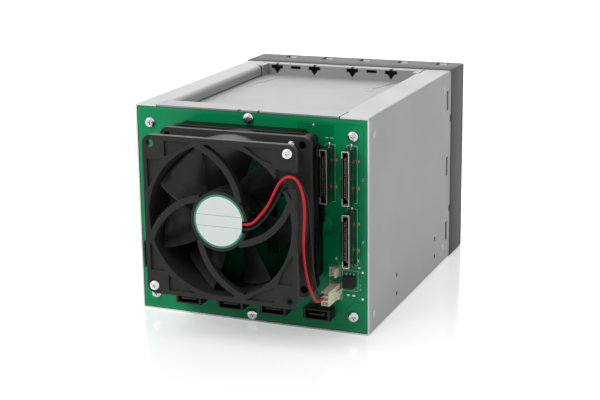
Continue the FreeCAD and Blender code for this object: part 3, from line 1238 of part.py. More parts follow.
def fan_label():
    """Round paper label on the motor base, left without print."""
    disc = rod(LABEL_RADIUS, (FAN_X, fan_rear - LABEL_THICKNESS, FAN_Z), (FAN_X, fan_rear, FAN_Z))
    return disc.cut(wire_exit())


def bearing_bush():
    """Sleeve bearing in the frame's tube."""
    rear = fan_rear - HUB_BASE_DEPTH
    front = rear - BUSH_LENGTH
    bush = rod(BUSH_RADIUS, (FAN_X, front, FAN_Z), (FAN_X, rear, FAN_Z))
    return bush.cut(rod(SHAFT_RADIUS + SHAFT_FIT, (FAN_X, front - 1, FAN_Z), (FAN_X, rear + 1, FAN_Z)))


def motor_stator():
    """Coil core on the bearing tube: a ring with wound poles."""
    rear = fan_rear - HUB_BASE_DEPTH - ROTOR_REAR_GAP - STATOR_CLEARANCE
    front = rear - STATOR_LENGTH
    outer = ROTOR_RADIUS - ROTOR_WALL - MAGNET_THICKNESS - STATOR_GAP
    ring = rod(TUBE_RADIUS + STATOR_RING, (0, front, 0), (0, rear, 0))
    disc = rod(outer, (0, front + WINDING_STEP, 0), (0, rear - WINDING_STEP, 0))
    pieces = [ring]
    for index in range(STATOR_POLES):
        pole = block(-STATOR_POLE_WIDTH / 2, STATOR_POLE_WIDTH / 2, front, rear, 0, outer + 1).common(disc)
        pole.rotate(V(0, 0, 0), V(0, 1, 0), 360 / STATOR_POLES * index)
        pieces.append(pole)
    core = fused(pieces).cut(rod(TUBE_RADIUS, (0, front - 1, 0), (0, rear + 1, 0)))
    core.translate(V(FAN_X, 0, FAN_Z))
    return core


def blade_section(share):
    """Arched section of a blade at a share of its span, 0 at the hub and 1 at the tip."""
    root = ROTOR_RADIUS - BLADE_ROOT_SINK
    tip = FAN_BORE_RADIUS - BLADE_TIP_GAP + BLADE_TRIM
    radius = root + (tip - root) * share
    angle = BLADE_ROOT_ANGLE + (BLADE_TIP_ANGLE - BLADE_ROOT_ANGLE) * share
    chord = BLADE_ROOT_CHORD + (BLADE_TIP_CHORD - BLADE_ROOT_CHORD) * share
    ends = (V(-chord / 2, 0, 0), V(chord / 2, 0, 0))
    arcs = []
    for rise in (BLADE_CAMBER * chord + BLADE_THICKNESS / 2, BLADE_CAMBER * chord - BLADE_THICKNESS / 2):
        arcs.append(Part.Arc(ends[0], V(0, -rise, 0), ends[1]).toShape())
    section = Part.Wire(arcs)
    section.rotate(V(0, 0, 0), V(0, 0, 1), angle)
    section.translate(V(0, 0, radius))
    section.rotate(V(0, 0, 0), V(0, 1, 0), BLADE_PHASE + BLADE_SWEEP * share)
    return section


def blade():
    """One swept, twisted blade, lofted through arched sections and trimmed round at the tip."""
    base_front = fan_rear - HUB_BASE_DEPTH
    sections = [blade_section(index / (BLADE_SECTIONS - 1)) for index in range(BLADE_SECTIONS)]
    loft = Part.makeLoft(sections, True, False)
    loft.translate(V(0, (fan_front + base_front) / 2, 0))
    sweep = rod(FAN_BORE_RADIUS - BLADE_TIP_GAP, (0, fan_front + BLADE_END_GAP[0], 0),
                (0, base_front - BLADE_END_GAP[1], 0))
    return loft.common(sweep)


def impeller():
    """Rotor cup with its swept blades."""
    front = fan_front + ROTOR_FRONT_GAP
    rear = fan_rear - HUB_BASE_DEPTH - ROTOR_REAR_GAP
    rim = ROTOR_RADIUS - ROTOR_ROUNDING
    profile = [V(0, front, 0), V(rim, front, 0), V(ROTOR_RADIUS, front + ROTOR_ROUNDING, 0),
               V(ROTOR_RADIUS, rear, 0), V(0, rear, 0)]
    middle = ROTOR_ROUNDING * (1 - math.sqrt(0.5))
    edges = [
        Part.LineSegment(profile[0], profile[1]).toShape(),
        Part.Arc(profile[1], V(ROTOR_RADIUS - middle, front + middle, 0), profile[2]).toShape(),
        Part.LineSegment(profile[2], profile[3]).toShape(),
        Part.LineSegment(profile[3], profile[4]).toShape(),
        Part.LineSegment(profile[4], profile[0]).toShape(),
    ]
    cup = Part.Face(Part.Wire(edges)).revolve(V(0, 0, 0), V(0, 1, 0), 360)
    pieces = [cup]
    first = blade()
    for index in range(BLADE_COUNT):
        copy = first.copy()
        copy.rotate(V(0, 0, 0), V(0, 1, 0), 360 / BLADE_COUNT * index)
        pieces.append(copy)
    hollow = rod(ROTOR_RADIUS - ROTOR_WALL, (0, front + ROTOR_FRONT_WALL, 0), (0, rear + 1, 0))
    shaft_seat = rod(SHAFT_RADIUS, (0, front + SHAFT_SEAT, 0), (0, rear, 0))
    body = without(fused(pieces), [hollow, shaft_seat])
    body.translate(V(FAN_X, 0, FAN_Z))
    return body


def fan_shaft():
    """Steel shaft fixed in the rotor cup."""
    front = fan_front + ROTOR_FRONT_GAP + SHAFT_SEAT
    rear = fan_rear - HUB_BASE_DEPTH + SHAFT_END_GAP
    return rod(SHAFT_RADIUS, (FAN_X, front, FAN_Z), (FAN_X, rear, FAN_Z))


def rotor_magnet():
    """Ring magnet inside the rotor cup."""
    rear = fan_rear - HUB_BASE_DEPTH - ROTOR_REAR_GAP
    front = rear - STATOR_LENGTH - MAGNET_OVERLAP
    outer = ROTOR_RADIUS - ROTOR_WALL
    ring = rod(outer, (FAN_X, front, FAN_Z), (FAN_X, rear, FAN_Z))
    return ring.cut(rod(outer - MAGNET_THICKNESS, (FAN_X, front - 1, FAN_Z), (FAN_X, rear + 1, FAN_Z)))


def fan_screw(x, z):
    """Long fan screw through both flanges into the bracket's post."""
    head = domed_head(FAN_SCREW_HEAD_RADIUS, FAN_SCREW_HEAD_HEIGHT, (x, fan_rear, z), (0, 1, 0), SCREW_CROWN)
    shank = rod(FAN_SCREW_RADIUS, (x, fan_rear, z), (x, fan_front - FAN_SCREW_BITE, z))
    return fused([head, shank])


# ---------------------------------------------------------------- fan lead
# Both wires leave the motor base, cross the flange in its notch, hang free beside the fan
# and end in the plug. Points chosen by hand, in mm.
RED_ROUTE = [
    (-15.8, 127.4, 73.4),
    (-20.6, 127.4, 73.4),
    (-26.0, 128.4, 78.6),
    (-31.6, 128.6, 85.6),
    (-35.4, 128.4, 93.4),
    (-38.6, 128.2, 99.8),
    (-43.6, 128.4, 103.2),
    (-48.8, 128.2, 101.6),
    (-51.9, 127.0, 92.0),
    (-51.9, 126.2, 80.0),
    (-50.2, 125.0, 66.0),
    (-49.8, 122.4, 52.0),
    (-50.0, 118.0, 41.0),
    (-50.4, 113.4, 32.6),
    (-51.2, 107.6, 25.4),
    (-51.2, 98.8, 25.4),
]
BLACK_ROUTE = [
    (-15.8, 127.4, 70.6),
    (-21.6, 127.4, 70.6),
    (-28.0, 128.0, 76.6),
    (-33.8, 128.2, 84.0),
    (-37.6, 127.8, 91.4),
    (-41.0, 127.0, 97.4),
    (-45.2, 126.8, 100.4),
    (-49.4, 125.4, 98.6),
    (-51.6, 122.0, 90.4),
    (-51.8, 119.4, 79.0),
    (-51.8, 117.4, 62.0),
    (-51.4, 114.0, 46.0),
    (-51.2, 109.4, 35.0),
    (-51.2, 104.6, 28.0),
    (-51.2, 98.8, 28.0),
]


def lead(route, diameter):
    """Straight runs joined by tangent arcs, swept with a round section."""
    points = [V(*p) for p in route]
    edges = []
    start = points[0]
    for index in range(1, len(points) - 1):
        here = points[index]
        before = here - points[index - 1]
        after = points[index + 1] - here
        reach = CORD_CORNER * min(before.Length, after.Length)
        half_turn = before.getAngle(after) / 2
        radius = reach / math.tan(half_turn)
        before.normalize()
        after.normalize()
        inward = (after - before).normalize()
        centre = here + inward * (radius / math.cos(half_turn))
        arc_end = here + after * reach
        edges.append(Part.LineSegment(start, here - before * reach).toShape())
        edges.append(Part.Arc(here - before * reach, centre - inward * radius, arc_end).toShape())
        start = arc_end
    edges.append(Part.LineSegment(start, points[-1]).toShape())
    circle = Part.Circle(points[0], (points[1] - points[0]).normalize(), diameter / 2).toShape()
    return Part.Wire(edges).makePipeShell([Part.Wire(circle)], True, False)


# ---------------------------------------------------------------- build
def build():
    """Every node of the cage."""
    nodes = {
        "outer_wrap": outer_wrap(),
        "top_panel": top_panel(),
        "divider_plates": group([divider(x) for x in divider_centres]),
        "floor_guides": guide_plate(False),
        "ceiling_guides": guide_plate(True),
        "shell_rivets": group([rivet(side, y, z) for side in (1, -1) for y, z in rivet_places()]),
        "bezel_frame": bezel_frame(),
        "bezel_face": bezel_ring(bezel_front, bezel_front + BEZEL_FACE),
        "tray_springs": group([tray_spring(x) for x in spring_windows()]),
        "backplane_board": backplane_board(),
        "board_screws": group([pan_screw(x, z) for x, z in board_screw_places()]),
        "drive_sockets": group([drive_socket(x) for x in tray_centres]),
        "power_sockets": power_sockets(),
        "data_sockets": data_sockets(),
        "fan_header": fan_header(),
        "fan_plug": fan_plug(),
        "pin_header": pin_header(),
        "regulator": regulator(),
        "fan_bracket": fan_bracket(),
        "bracket_screws": group([bracket_screw(x, z) for x, z in bracket_screw_places()]),
        "fan_frame": fan_frame(),
        "fan_label": fan_label(),
        "fan_screws": group([fan_screw(x, z) for x, z in fan_corners()[1::2]]),
        "bearing_bush": bearing_bush(),
        "motor_stator": motor_stator(),
        "fan_impeller": impeller(),
        "fan_shaft": fan_shaft(),
        "rotor_magnet": rotor_magnet(),
        "fan_wire_red": lead(RED_ROUTE, LEAD_DIAMETER),
        "fan_wire_black": lead(BLACK_ROUTE, LEAD_DIAMETER),
    }
    for index, x in enumerate(tray_centres):
        name = "tray_%d" % (index + 1)
        nodes[name + "_frame"] = tray_frame(x)
        nodes[name + "_front"] = tray_front(x)
        nodes[name + "_lever"] = lever(x)
        nodes[name + "_button"] = release_button(x)
        nodes[name + "_lock"] = key_lock(x)
        nodes[name + "_light_pipes"] = light_pipes(x)
    return nodes


os.makedirs("parts", exist_ok=True)
for node_name, node_shape in build().items():
    if not node_shape.isValid():
        print("not valid: " + node_name)
    export(node_name, node_shape)
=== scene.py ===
import json
import math

import bpy
from mathutils import Matrix, Vector

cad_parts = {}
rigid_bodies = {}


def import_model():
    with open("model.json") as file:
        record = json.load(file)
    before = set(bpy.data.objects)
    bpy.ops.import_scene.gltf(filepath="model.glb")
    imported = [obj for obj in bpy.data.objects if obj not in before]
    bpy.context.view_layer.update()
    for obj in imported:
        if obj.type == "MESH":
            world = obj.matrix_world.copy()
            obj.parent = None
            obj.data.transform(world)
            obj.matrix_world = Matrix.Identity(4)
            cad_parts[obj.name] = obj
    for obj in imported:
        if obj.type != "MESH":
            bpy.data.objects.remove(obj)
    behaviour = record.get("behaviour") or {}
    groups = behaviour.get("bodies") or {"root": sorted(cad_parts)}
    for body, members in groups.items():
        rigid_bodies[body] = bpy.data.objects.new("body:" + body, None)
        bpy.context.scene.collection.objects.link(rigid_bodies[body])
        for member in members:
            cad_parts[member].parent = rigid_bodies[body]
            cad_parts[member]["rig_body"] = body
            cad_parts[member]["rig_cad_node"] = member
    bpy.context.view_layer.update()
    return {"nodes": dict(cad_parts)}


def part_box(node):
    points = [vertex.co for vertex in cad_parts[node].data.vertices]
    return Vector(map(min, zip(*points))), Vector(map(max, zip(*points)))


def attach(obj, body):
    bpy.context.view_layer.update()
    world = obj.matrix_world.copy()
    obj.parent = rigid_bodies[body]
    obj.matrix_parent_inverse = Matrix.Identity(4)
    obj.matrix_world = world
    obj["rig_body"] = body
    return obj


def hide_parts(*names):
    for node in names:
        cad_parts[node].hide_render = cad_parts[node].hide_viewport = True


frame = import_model()
nodes = frame["nodes"]

# Lengths below are in mm unless a comment says otherwise.
MM = 0.001                       # one millimetre in metres
TRAYS = range(1, 6)
TRAY_PITCH = 27.2
FAN_CENTRE = (-2.0, 74.0)        # X and Z of the fan's axis
FAN_REAR = 128.6                 # Y of the fan frame's rear face
BOARD_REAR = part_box("backplane_board")[1].y / MM
SHELL_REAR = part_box("outer_wrap")[1].y / MM


def mm(*values):
    """A point or size given in millimetres."""
    return Vector(values) * MM


# ---------------------------------------------------------------- camera and lamps
CAMERA_PLACE = (-318.69, 789.84, 281.49)
CAMERA_AHEAD = (0.3861, -0.8889, -0.2466)
CAMERA_UPRIGHT = (0.0809, -0.2337, 0.9689)


def set_camera():
    """Looks at the cage's rear and its right wall from a little above."""
    ahead = Vector(CAMERA_AHEAD).normalized()
    right = ahead.cross(Vector(CAMERA_UPRIGHT)).normalized()
    up = right.cross(ahead)
    data = bpy.data.cameras.new("camera")
    data.sensor_width = 36.0
    data.lens = 83.19
    data.shift_x = 0.0543
    data.shift_y = -0.0275
    data.clip_start = 0.01
    camera = bpy.data.objects.new("camera", data)
    turn = Matrix((right, up, -ahead)).transposed().to_4x4()
    camera.matrix_world = Matrix.Translation(mm(*CAMERA_PLACE)) @ turn
    bpy.context.scene.collection.objects.link(camera)
    bpy.context.scene.camera = camera
    bpy.context.scene.view_settings.view_transform = "Standard"


LAMPS = [                        # name, place, side in metres, watts
    ("key_lamp", (500, 850, 900), 0.9, 9.0),
    ("top_lamp", (-150, 0, 1100), 1.0, 1.6),
    ("side_lamp", (-900, 100, 450), 0.8, 1.2),
    ("front_lamp", (300, -900, 600), 0.9, 4.0),
]
LAMP_TARGET = (0, 20, 60)


def add_lamp(name, place, side, watts):
    """A soft square lamp that faces the cage."""
    data = bpy.data.lights.new(name, "AREA")
    data.size = side
    data.energy = watts
    lamp = bpy.data.objects.new(name, data)
    lamp.location = mm(*place)
    lamp.rotation_mode = "QUATERNION"
    lamp.rotation_quaternion = (mm(*LAMP_TARGET) - mm(*place)).to_track_quat("-Z", "Y")
    bpy.context.scene.collection.objects.link(lamp)


# ---------------------------------------------------------------- shader sums
class Link:
    """A shader socket on which sums can be written."""

    def __init__(self, finish, socket):
        self.finish = finish
        self.socket = socket

    def sum(self, operation, *values):
        """One Math node on these values."""
        return self.finish.add("ShaderNodeMath", {"operation": operation}, dict(enumerate(values)))

    def __add__(self, other):
        return self.sum("ADD", self, other)

    def __radd__(self, other):
        return self.sum("ADD", other, self)

    def __sub__(self, other):
        return self.sum("SUBTRACT", self, other)

    def __rsub__(self, other):
        return self.sum("SUBTRACT", other, self)

    def __mul__(self, other):
        return self.sum("MULTIPLY", self, other)

    def __rmul__(self, other):
        return self.sum("MULTIPLY", other, self)

    def __pow__(self, other):
        return self.sum("POWER", self, other)

    def __gt__(self, other):
        return self.sum("GREATER_THAN", self, other)

    def __lt__(self, other):
        return self.sum("LESS_THAN", self, other)

    def __abs__(self):
        return self.sum("ABSOLUTE", self)

    def most(self, other):
        return self.sum("MAXIMUM", self, other)

    def root(self):
        return self.sum("SQRT", self)

    def wave(self):
        return self.sum("SINE", self)

    def step(self, low, high):
        """0 below low and 1 above high, smooth between them."""
        return self.finish.add("ShaderNodeMapRange", {"interpolation_type": "SMOOTHSTEP"},
                               {0: self, 1: low, 2: high, 3: 0.0, 4: 1.0})


class Finish:
    """One material: a Principled shader and the nodes that feed it."""

    def __init__(self, name, colour, roughness=0.5, metallic=0.0, **settings):
        self.material = bpy.data.materials.new(name)
        self.material.use_nodes = True
        self.tree = self.material.node_tree
        self.shader = self.tree.nodes["Principled BSDF"]
        self.base = (*colour, 1.0)
        self.set("Base Color", self.base)
        self.set("Roughness", roughness)
        self.set("Metallic", metallic)
        for key, value in settings.items():
            self.set(key.replace("_", " "), value)
        self.place = self.add("ShaderNodeTexCoord", output="Object")
        parts = self.add("ShaderNodeSeparateXYZ", sockets={0: self.place}).socket.node
        self.x, self.y, self.z = [Link(self, socket) for socket in parts.outputs]

    def feed(self, socket, value):
        """Links a socket to a Link, or sets it to a plain value."""
        if isinstance(value, Link):
            self.tree.links.new(value.socket, socket)
        else:
            socket.default_value = value

    def set(self, name, value):
        """Feeds one of the shader's own sockets."""
        self.feed(self.shader.inputs[name], value)

    def add(self, kind, settings=None, sockets=None, output=0):
        """Any node: its settings first, then its sockets."""
        node = self.tree.nodes.new(kind)
        for name, value in (settings or {}).items():
            setattr(node, name, value)
        for key, value in (sockets or {}).items():
            self.feed(node.inputs[key], value)
        return Link(self, node.outputs[output])

    def mix(self, factor, first, second):
        """Colour first where factor is 0 and second where it is 1."""
        return self.add("ShaderNodeMix", {"data_type": "RGBA"}, {0: factor, 6: first, 7: second},
                        output=2)

    def shade(self, factor, colour):
        """Lays a colour over what the finish has so far."""
        self.base = self.mix(factor, self.base, (*colour, 1.0))
        self.set("Base Color", self.base)

    def noise(self, scale, detail, stretch=(1, 1, 1)):
        """Noise of a scale per metre, stretched along the axes."""
        place = self.add("ShaderNodeVectorMath", {"operation": "MULTIPLY"},
                         {0: self.place, 1: stretch})
        return self.add("ShaderNodeTexNoise", None,
                        {"Vector": place, "Scale": scale, "Detail": detail})

    def cells(self, scale):
        """Distance to points scattered at a scale per metre, for grain."""
        return self.add("ShaderNodeTexVoronoi", None, {"Vector": self.place, "Scale": scale})

    def bump(self, height, depth, strength):
        """Relief of a height map, with its depth in mm."""
        self.set("Normal", self.add("ShaderNodeBump", None,
                                    {"Strength": strength, "Distance": depth * MM, "Height": height}))

    def radius(self, x, z):
        """Distance in mm from an axis along Y."""
        return ((self.x * 1000 - x) ** 2 + (self.z * 1000 - z) ** 2).root()

    def beyond(self, x, z, half_width, half_height):
        """Distance in mm outside a rectangle in the XZ plane, negative within it."""
        across = abs(self.x * 1000 - x) - half_width
        return across.most(abs(self.z * 1000 - z) - half_height)


# ---------------------------------------------------------------- finishes
GREY = (0.400, 0.406, 0.404)
BLACK = (0.020, 0.020, 0.020)
GLOSS_BLACK = (0.008, 0.008, 0.008)
CREAM = (0.93, 0.86, 0.70)
# near white for the painted highlight on the sheets' cut rear edges
PAINTED_EDGE_HIGHLIGHT = (0.95, 0.95, 0.94)


def tone(colour, factor):
    """A colour made lighter or darker by a factor."""
    return [channel * factor for channel in colour]


def sheet_finish(name, colour, grain, metallic=0.30):
    """Matt galvanised sheet: soft cloudy spangle, fine rolling lines and a painted highlight on its cut rear
    edges.
    """
    finish = Finish(name, colour, metallic=metallic)
    spangle = finish.cells(420)
    cloud = finish.noise(26, 4)
    lines = finish.noise(700, 3, grain)
    finish.shade(spangle * 0.10 + cloud * 0.16, tone(colour, 0.78))
    finish.shade(lines.step(0.62, 0.80) * 0.10, tone(colour, 1.18))
    # painted highlight: the cut rear edges are coloured near white and made non-metallic
    edge_highlight = finish.y > (SHELL_REAR - 0.15) * MM
    finish.shade(edge_highlight, PAINTED_EDGE_HIGHLIGHT)
    finish.set("Metallic", (1 - edge_highlight) * metallic)
    finish.set("Roughness", 0.40 + cloud * 0.16 + lines * 0.06)
    finish.bump(lines * 0.7 + spangle * 0.3, 0.012, 0.35)
    return finish


def plastic_finish(name, colour, roughness, grain=3200, depth=0.02, gloss=0.22):
    """Moulded plastic: spark-eroded grain of a depth in mm, and a faint flow cloud."""
    finish = Finish(name, colour, roughness, Specular_IOR_Level=gloss)
    cells = finish.cells(grain)
    cloud = finish.noise(60, 3)
    finish.shade(cloud.step(0.35, 0.75) * 0.35, tone(colour, 1.15))
    finish.set("Roughness", cloud * 0.14 + (roughness - 0.07))
    finish.bump(cells, depth, 0.45)
    return finish


def metal_finish(name, colour, roughness):
    """Plated metal with faint handling marks."""
    finish = Finish(name, colour, roughness, 1.0)
    marks = finish.noise(900, 4)
    finish.shade(marks.step(0.5, 0.8) * 0.4, tone(colour, 0.7))
    finish.set("Roughness", marks * 0.2 + (roughness - 0.08))
    finish.bump(marks, 0.01, 0.3)
    return finish


WINDING_RATE = 14000             # radians per metre: turns 0.45 mm apart
THREAD_RATE = 7400               # radians per metre: a pitch of 0.85 mm
BARE_FIELD = (-41.0, 112.0, 11.0, 10.2)      # X, Z, half width and half height
COPPER_FIELD = (0.0, 63.5, 69.6, 60.2)


def board_finish():
    """Green solder mask over glass cloth, with a darker bare field beside the fan and a lighter rim."""
    finish = Finish("solder_mask", (0.0, 0.285, 0.098), 0.32, Coat_Weight=0.06, Coat_Roughness=0.12,
                    Specular_IOR_Level=0.15)
    weave = finish.noise(1500, 2, (1, 1, 0.25)) + finish.noise(1500, 2, (0.25, 1, 1))
    cloud = finish.noise(30, 3)
    bare = 0.4 - finish.beyond(*BARE_FIELD)
    finish.shade(cloud.step(0.35, 0.7) * 0.4, (0.0, 0.34, 0.13))
    finish.shade(bare.step(0.0, 0.8) * 0.8, (0.0, 0.17, 0.06))
    rim = finish.beyond(*COPPER_FIELD)
    finish.shade(rim.step(0.0, 0.5) * 0.35, (0.02, 0.36, 0.16))
    finish.set("Roughness", cloud * 0.12 + 0.26)
    finish.bump(weave, 0.015, 0.25)
    return finish


LABEL_RADIUS = 14.0              # to the green rim
RULE_HEIGHTS = (3.4, -3.0)       # from the fan's axis
RULE_HALF = 0.10


def label_finish():
    """Coated white disc with a green rim and two fine rules, left without print."""
    finish = Finish("label_paper", (0.80, 0.86, 0.82), 0.35)
    radius = finish.radius(*FAN_CENTRE)
    high = finish.z * 1000 - FAN_CENTRE[1]
    upper, lower = [abs(high - height) < RULE_HALF for height in RULE_HEIGHTS]
    rule = upper.most(lower) * (radius < LABEL_RADIUS)
    fibre = finish.noise(900, 3)
    finish.shade(fibre * 0.12, (0.60, 0.70, 0.66))
    finish.shade(rule * 0.8, (0.02, 0.10, 0.07))
    finish.shade(radius.step(LABEL_RADIUS - 0.1, LABEL_RADIUS + 0.2), (0.0, 0.30, 0.17))
    finish.bump(fibre, 0.01, 0.2)
    return finish


def winding_finish():
    """Enamelled copper turns round the stator's poles."""
    finish = Finish("winding_copper", (0.50, 0.20, 0.07), 0.3, 1.0)
    turns = (finish.y * WINDING_RATE).wave()
    finish.shade(turns.step(0.2, 1.0) * 0.5, (0.28, 0.10, 0.04))
    finish.bump(turns, 0.08, 0.8)
    return finish


def wire_finish(name, colour):
    """Soft PVC insulation."""
    finish = Finish(name, colour, 0.35, Specular_IOR_Level=0.18)
    cloud = finish.noise(500, 3)
    finish.shade(cloud * 0.25, tone(colour, 0.6))
    finish.set("Roughness", cloud * 0.15 + 0.28)
    finish.bump(cloud, 0.02, 0.2)
    return finish


def thread_finish():
    """Plated screw steel whose long shanks carry a thread along Y."""
    finish = metal_finish("thread_steel", (0.66, 0.66, 0.68), 0.20)
    below_head = finish.y < (FAN_REAR - 0.5) * MM
    finish.bump((finish.y * THREAD_RATE).wave() * below_head, 0.22, 0.9)
    return finish


def tinned_finish(name, colour, roughness, mask):
    """Plastic body with tinned metal where the mask is 1."""
    finish = plastic_finish(name, colour, roughness, 2600, 0.012)
    tin = mask(finish)
    finish.shade(tin, (0.70, 0.70, 0.68))
    finish.set("Metallic", tin)
    return finish


def pin_mask(finish):
    """The small header's pins, which stand in one row above its base."""
    row, half_pin, base_top = -51.8, 0.42, BOARD_REAR + 2.55
    return (abs(finish.x * 1000 - row) < half_pin) * (finish.y * 1000 > base_top)


def lead_mask(finish):
    """The regulator's leads at both of its ends."""
    middle, half_body = 32.0, 3.45
    return abs(finish.z * 1000 - middle) > half_body


def blade_finish():
    """Glossier moulded blades with fine flow lines from the hub, and a painted sheen that lightens their
    outer ends.
    """
    finish = Finish("blade_plastic", (0.020, 0.020, 0.021), 0.30, Coat_Weight=0.25, Coat_Roughness=0.2,
                    Specular_IOR_Level=0.3)
    radius = finish.radius(*FAN_CENTRE)
    flow = finish.noise(90, 4, (1, 3, 1))
    finish.shade(flow.step(0.4, 0.75) * 0.6, (0.050, 0.050, 0.052))
    # painted sheen: the blades' outer ends are made lighter grey
    finish.shade(radius.step(38, 43) * 0.4, (0.07, 0.07, 0.07))
    finish.set("Roughness", flow * 0.2 + 0.22)
    finish.bump(flow, 0.08, 0.25)
    return finish


def clear_finish():
    """Clear light pipe with faint moulding clouds."""
    finish = Finish("light_pipe", (0.82, 0.90, 0.92), 0.12, IOR=1.49, Transmission_Weight=0.7)
    cloud = finish.noise(300, 2)
    finish.shade(cloud * 0.4, (0.60, 0.72, 0.76))
    finish.bump(cloud, 0.02, 0.2)
    return finish


FINISHES = {
    "wrap": sheet_finish("galvanised_wrap", GREY, (1, 0.06, 1)),
    # painted shade: the top panel is the wrap's galvanised sheet set darker, against the light that falls on
    # it from above
    "panel": sheet_finish("galvanised_panel_shaded", (0.336, 0.340, 0.340), (0.06, 1, 1)),
    "steel": sheet_finish("plain_steel", (0.50, 0.51, 0.52), (1, 0.1, 1), 0.7),
    "spring": sheet_finish("spring_steel", (0.90, 0.90, 0.88), (0.1, 1, 1), 0.1),
    "screw": metal_finish("screw_nickel", (0.56, 0.55, 0.56), 0.20),
    "thread": thread_finish(),
    "bezel": plastic_finish("bezel_plastic", (0.100, 0.100, 0.097), 0.60, 2600, 0.03),
    "black": plastic_finish("black_plastic", BLACK, 0.50),
    "guide": plastic_finish("guide_plastic", (0.04, 0.04, 0.042), 0.45),
    "fan": plastic_finish("fan_plastic", (0.026, 0.026, 0.025), 0.42, 3600, 0.02, 0.15),
    "carrier": plastic_finish("carrier_plastic", (0.006, 0.006, 0.006), 0.42, gloss=0.08),
    "blade": blade_finish(),
    "socket": plastic_finish("socket_plastic", GLOSS_BLACK, 0.14, 4200, 0.003, 0.75),
    "data_socket": plastic_finish("data_socket_plastic", GLOSS_BLACK, 0.30, 4200, 0.004, 0.25),
    # pale metal for the frames at the socket mouths, a painted highlight on their rim edges
    "rim": metal_finish("socket_rim", (0.66, 0.65, 0.60), 0.42),
    "gold": metal_finish("contact_gold", (0.80, 0.66, 0.42), 0.24),
    "tin": metal_finish("solder_tin", (0.74, 0.74, 0.72), 0.30),
    "pad": metal_finish("pad_copper", (0.55, 0.33, 0.20), 0.40),
    "silk": plastic_finish("silk_white", (0.72, 0.82, 0.74), 0.60, 5000, 0.004),
    "trace": plastic_finish("covered_trace", (0.0, 0.150, 0.052), 0.30, 5000, 0.004),
    "bus": plastic_finish("covered_bus", (0.01, 0.42, 0.17), 0.30, 5000, 0.004),
    "cream": plastic_finish("cream_plastic", CREAM, 0.42, 3000, 0.01),
    "header": tinned_finish("header_cream", CREAM, 0.42, pin_mask),
    "chip": tinned_finish("chip_body", (0.016, 0.016, 0.017), 0.55, lead_mask),
    "board": board_finish(),
    "label": label_finish(),
    "red_wire": wire_finish("wire_red", (0.80, 0.020, 0.038)),
    "black_wire": wire_finish("wire_black", (0.012, 0.012, 0.012)),
    "bronze": metal_finish("bearing_bronze", (0.55, 0.36, 0.18), 0.38),
    "shaft": metal_finish("shaft_steel", (0.72, 0.72, 0.73), 0.18),
    "magnet": plastic_finish("magnet_ferrite", (0.05, 0.047, 0.045), 0.7),
    "copper": winding_finish(),
    "lever": plastic_finish("lever_plastic", (0.045, 0.045, 0.046), 0.50, 2800, 0.025),
    "front": plastic_finish("front_plastic", (0.022, 0.022, 0.023), 0.52, 2800, 0.025),
    "button": plastic_finish("button_plastic", (0.105, 0.105, 0.11), 0.34, 4500, 0.008),
    "lock": metal_finish("lock_metal", (0.74, 0.74, 0.75), 0.24),
    "pipe": clear_finish(),
    "blank": plastic_finish("blank_plate", (0.42, 0.43, 0.43), 0.45, 4000, 0.006),
}

NODE_FINISHES = {
    "outer_wrap": "wrap", "top_panel": "panel", "shell_rivets": "steel",
    "divider_plates": "steel", "floor_guides": "guide", "ceiling_guides": "guide",
    "bezel_frame": "bezel", "bezel_face": "black", "tray_springs": "spring",
    "backplane_board": "board", "board_screws": "screw", "drive_sockets": "socket",
    "power_sockets": "socket", "data_sockets": "socket", "fan_header": "cream",
    "fan_plug": "cream", "pin_header": "header", "regulator": "chip",
    "fan_bracket": "carrier", "bracket_screws": "screw", "fan_frame": "fan",
    "fan_label": "label", "fan_screws": "screw", "bearing_bush": "bronze",
    "motor_stator": "copper", "fan_wire_red": "red_wire", "fan_wire_black": "black_wire",
    "fan_impeller": "blade", "fan_shaft": "shaft", "rotor_magnet": "magnet",
}
TRAY_FINISHES = {
    "frame": "steel", "front": "front", "lever": "lever", "button": "button", "lock": "lock",
    "light_pipes": "pipe",
}
for tray in TRAYS:
    for part, finish in TRAY_FINISHES.items():
        NODE_FINISHES["tray_%d_%s" % (tray, part)] = finish


def paint(piece, finish):
    """Gives a piece one finish all over."""
    piece.data.materials.clear()
    piece.data.materials.append(FINISHES[finish].material)


for node_name, finish in NODE_FINISHES.items():
    paint(nodes[node_name], finish)


# ---------------------------------------------------------------- modelling by hand
def rest():
    """Nothing selected, in object mode."""
    if bpy.context.object and bpy.context.object.mode != "OBJECT":
        bpy.ops.object.mode_set(mode="OBJECT")
    bpy.ops.object.select_all(action="DESELECT")


def take(*pieces):
    """Only these pieces selected, the first one active."""
    rest()
    for piece in pieces:
        piece.select_set(True)
    bpy.context.view_layer.objects.active = pieces[0]


def settle(piece):
    """Leaves the object at the origin, with its place in its mesh."""
    take(piece)
    bpy.ops.object.transform_apply(location=True, rotation=True, scale=True)
    return piece


def smooth(piece, degrees=35):
    """Shades smooth across edges flatter than an angle."""
    take(piece)
    bpy.ops.object.shade_smooth_by_angle(angle=math.radians(degrees))
    return piece


def everywhere(middle, normal):
    """Chooses every face."""
    return True


def choose(piece, test):
    """Enters edit mode with the faces selected that pass a test on their middle and normal."""
    take(piece)
    bpy.context.tool_settings.mesh_select_mode = (False, False, True)
    for vertex in piece.data.vertices:
        vertex.select = False
    for edge in piece.data.edges:
        edge.select = False
    for face in piece.data.polygons:
        face.select = bool(test(face.center, face.normal))
    bpy.ops.object.mode_set(mode="EDIT")


def modify(piece, kind, **settings):
    """Adds a modifier and applies it."""
    take(piece)
    modifier = piece.modifiers.new(kind.lower(), kind)
    for name, value in settings.items():
        setattr(modifier, name, value)
    bpy.ops.object.modifier_apply(modifier=modifier.name)


def block(name, low, high, edge=0.0):
    """A box between two corners, with its edges bevelled."""
    low, high = mm(*low), mm(*high)
    rest()
    bpy.ops.mesh.primitive_cube_add(size=1, location=(low + high) / 2)
    piece = bpy.context.object
    piece.name = name
    piece.scale = high - low
    settle(piece)
    if edge:
        choose(piece, everywhere)
        bpy.ops.mesh.bevel(offset=edge * MM, segments=2, affect="EDGES")
        smooth(piece)
    return piece


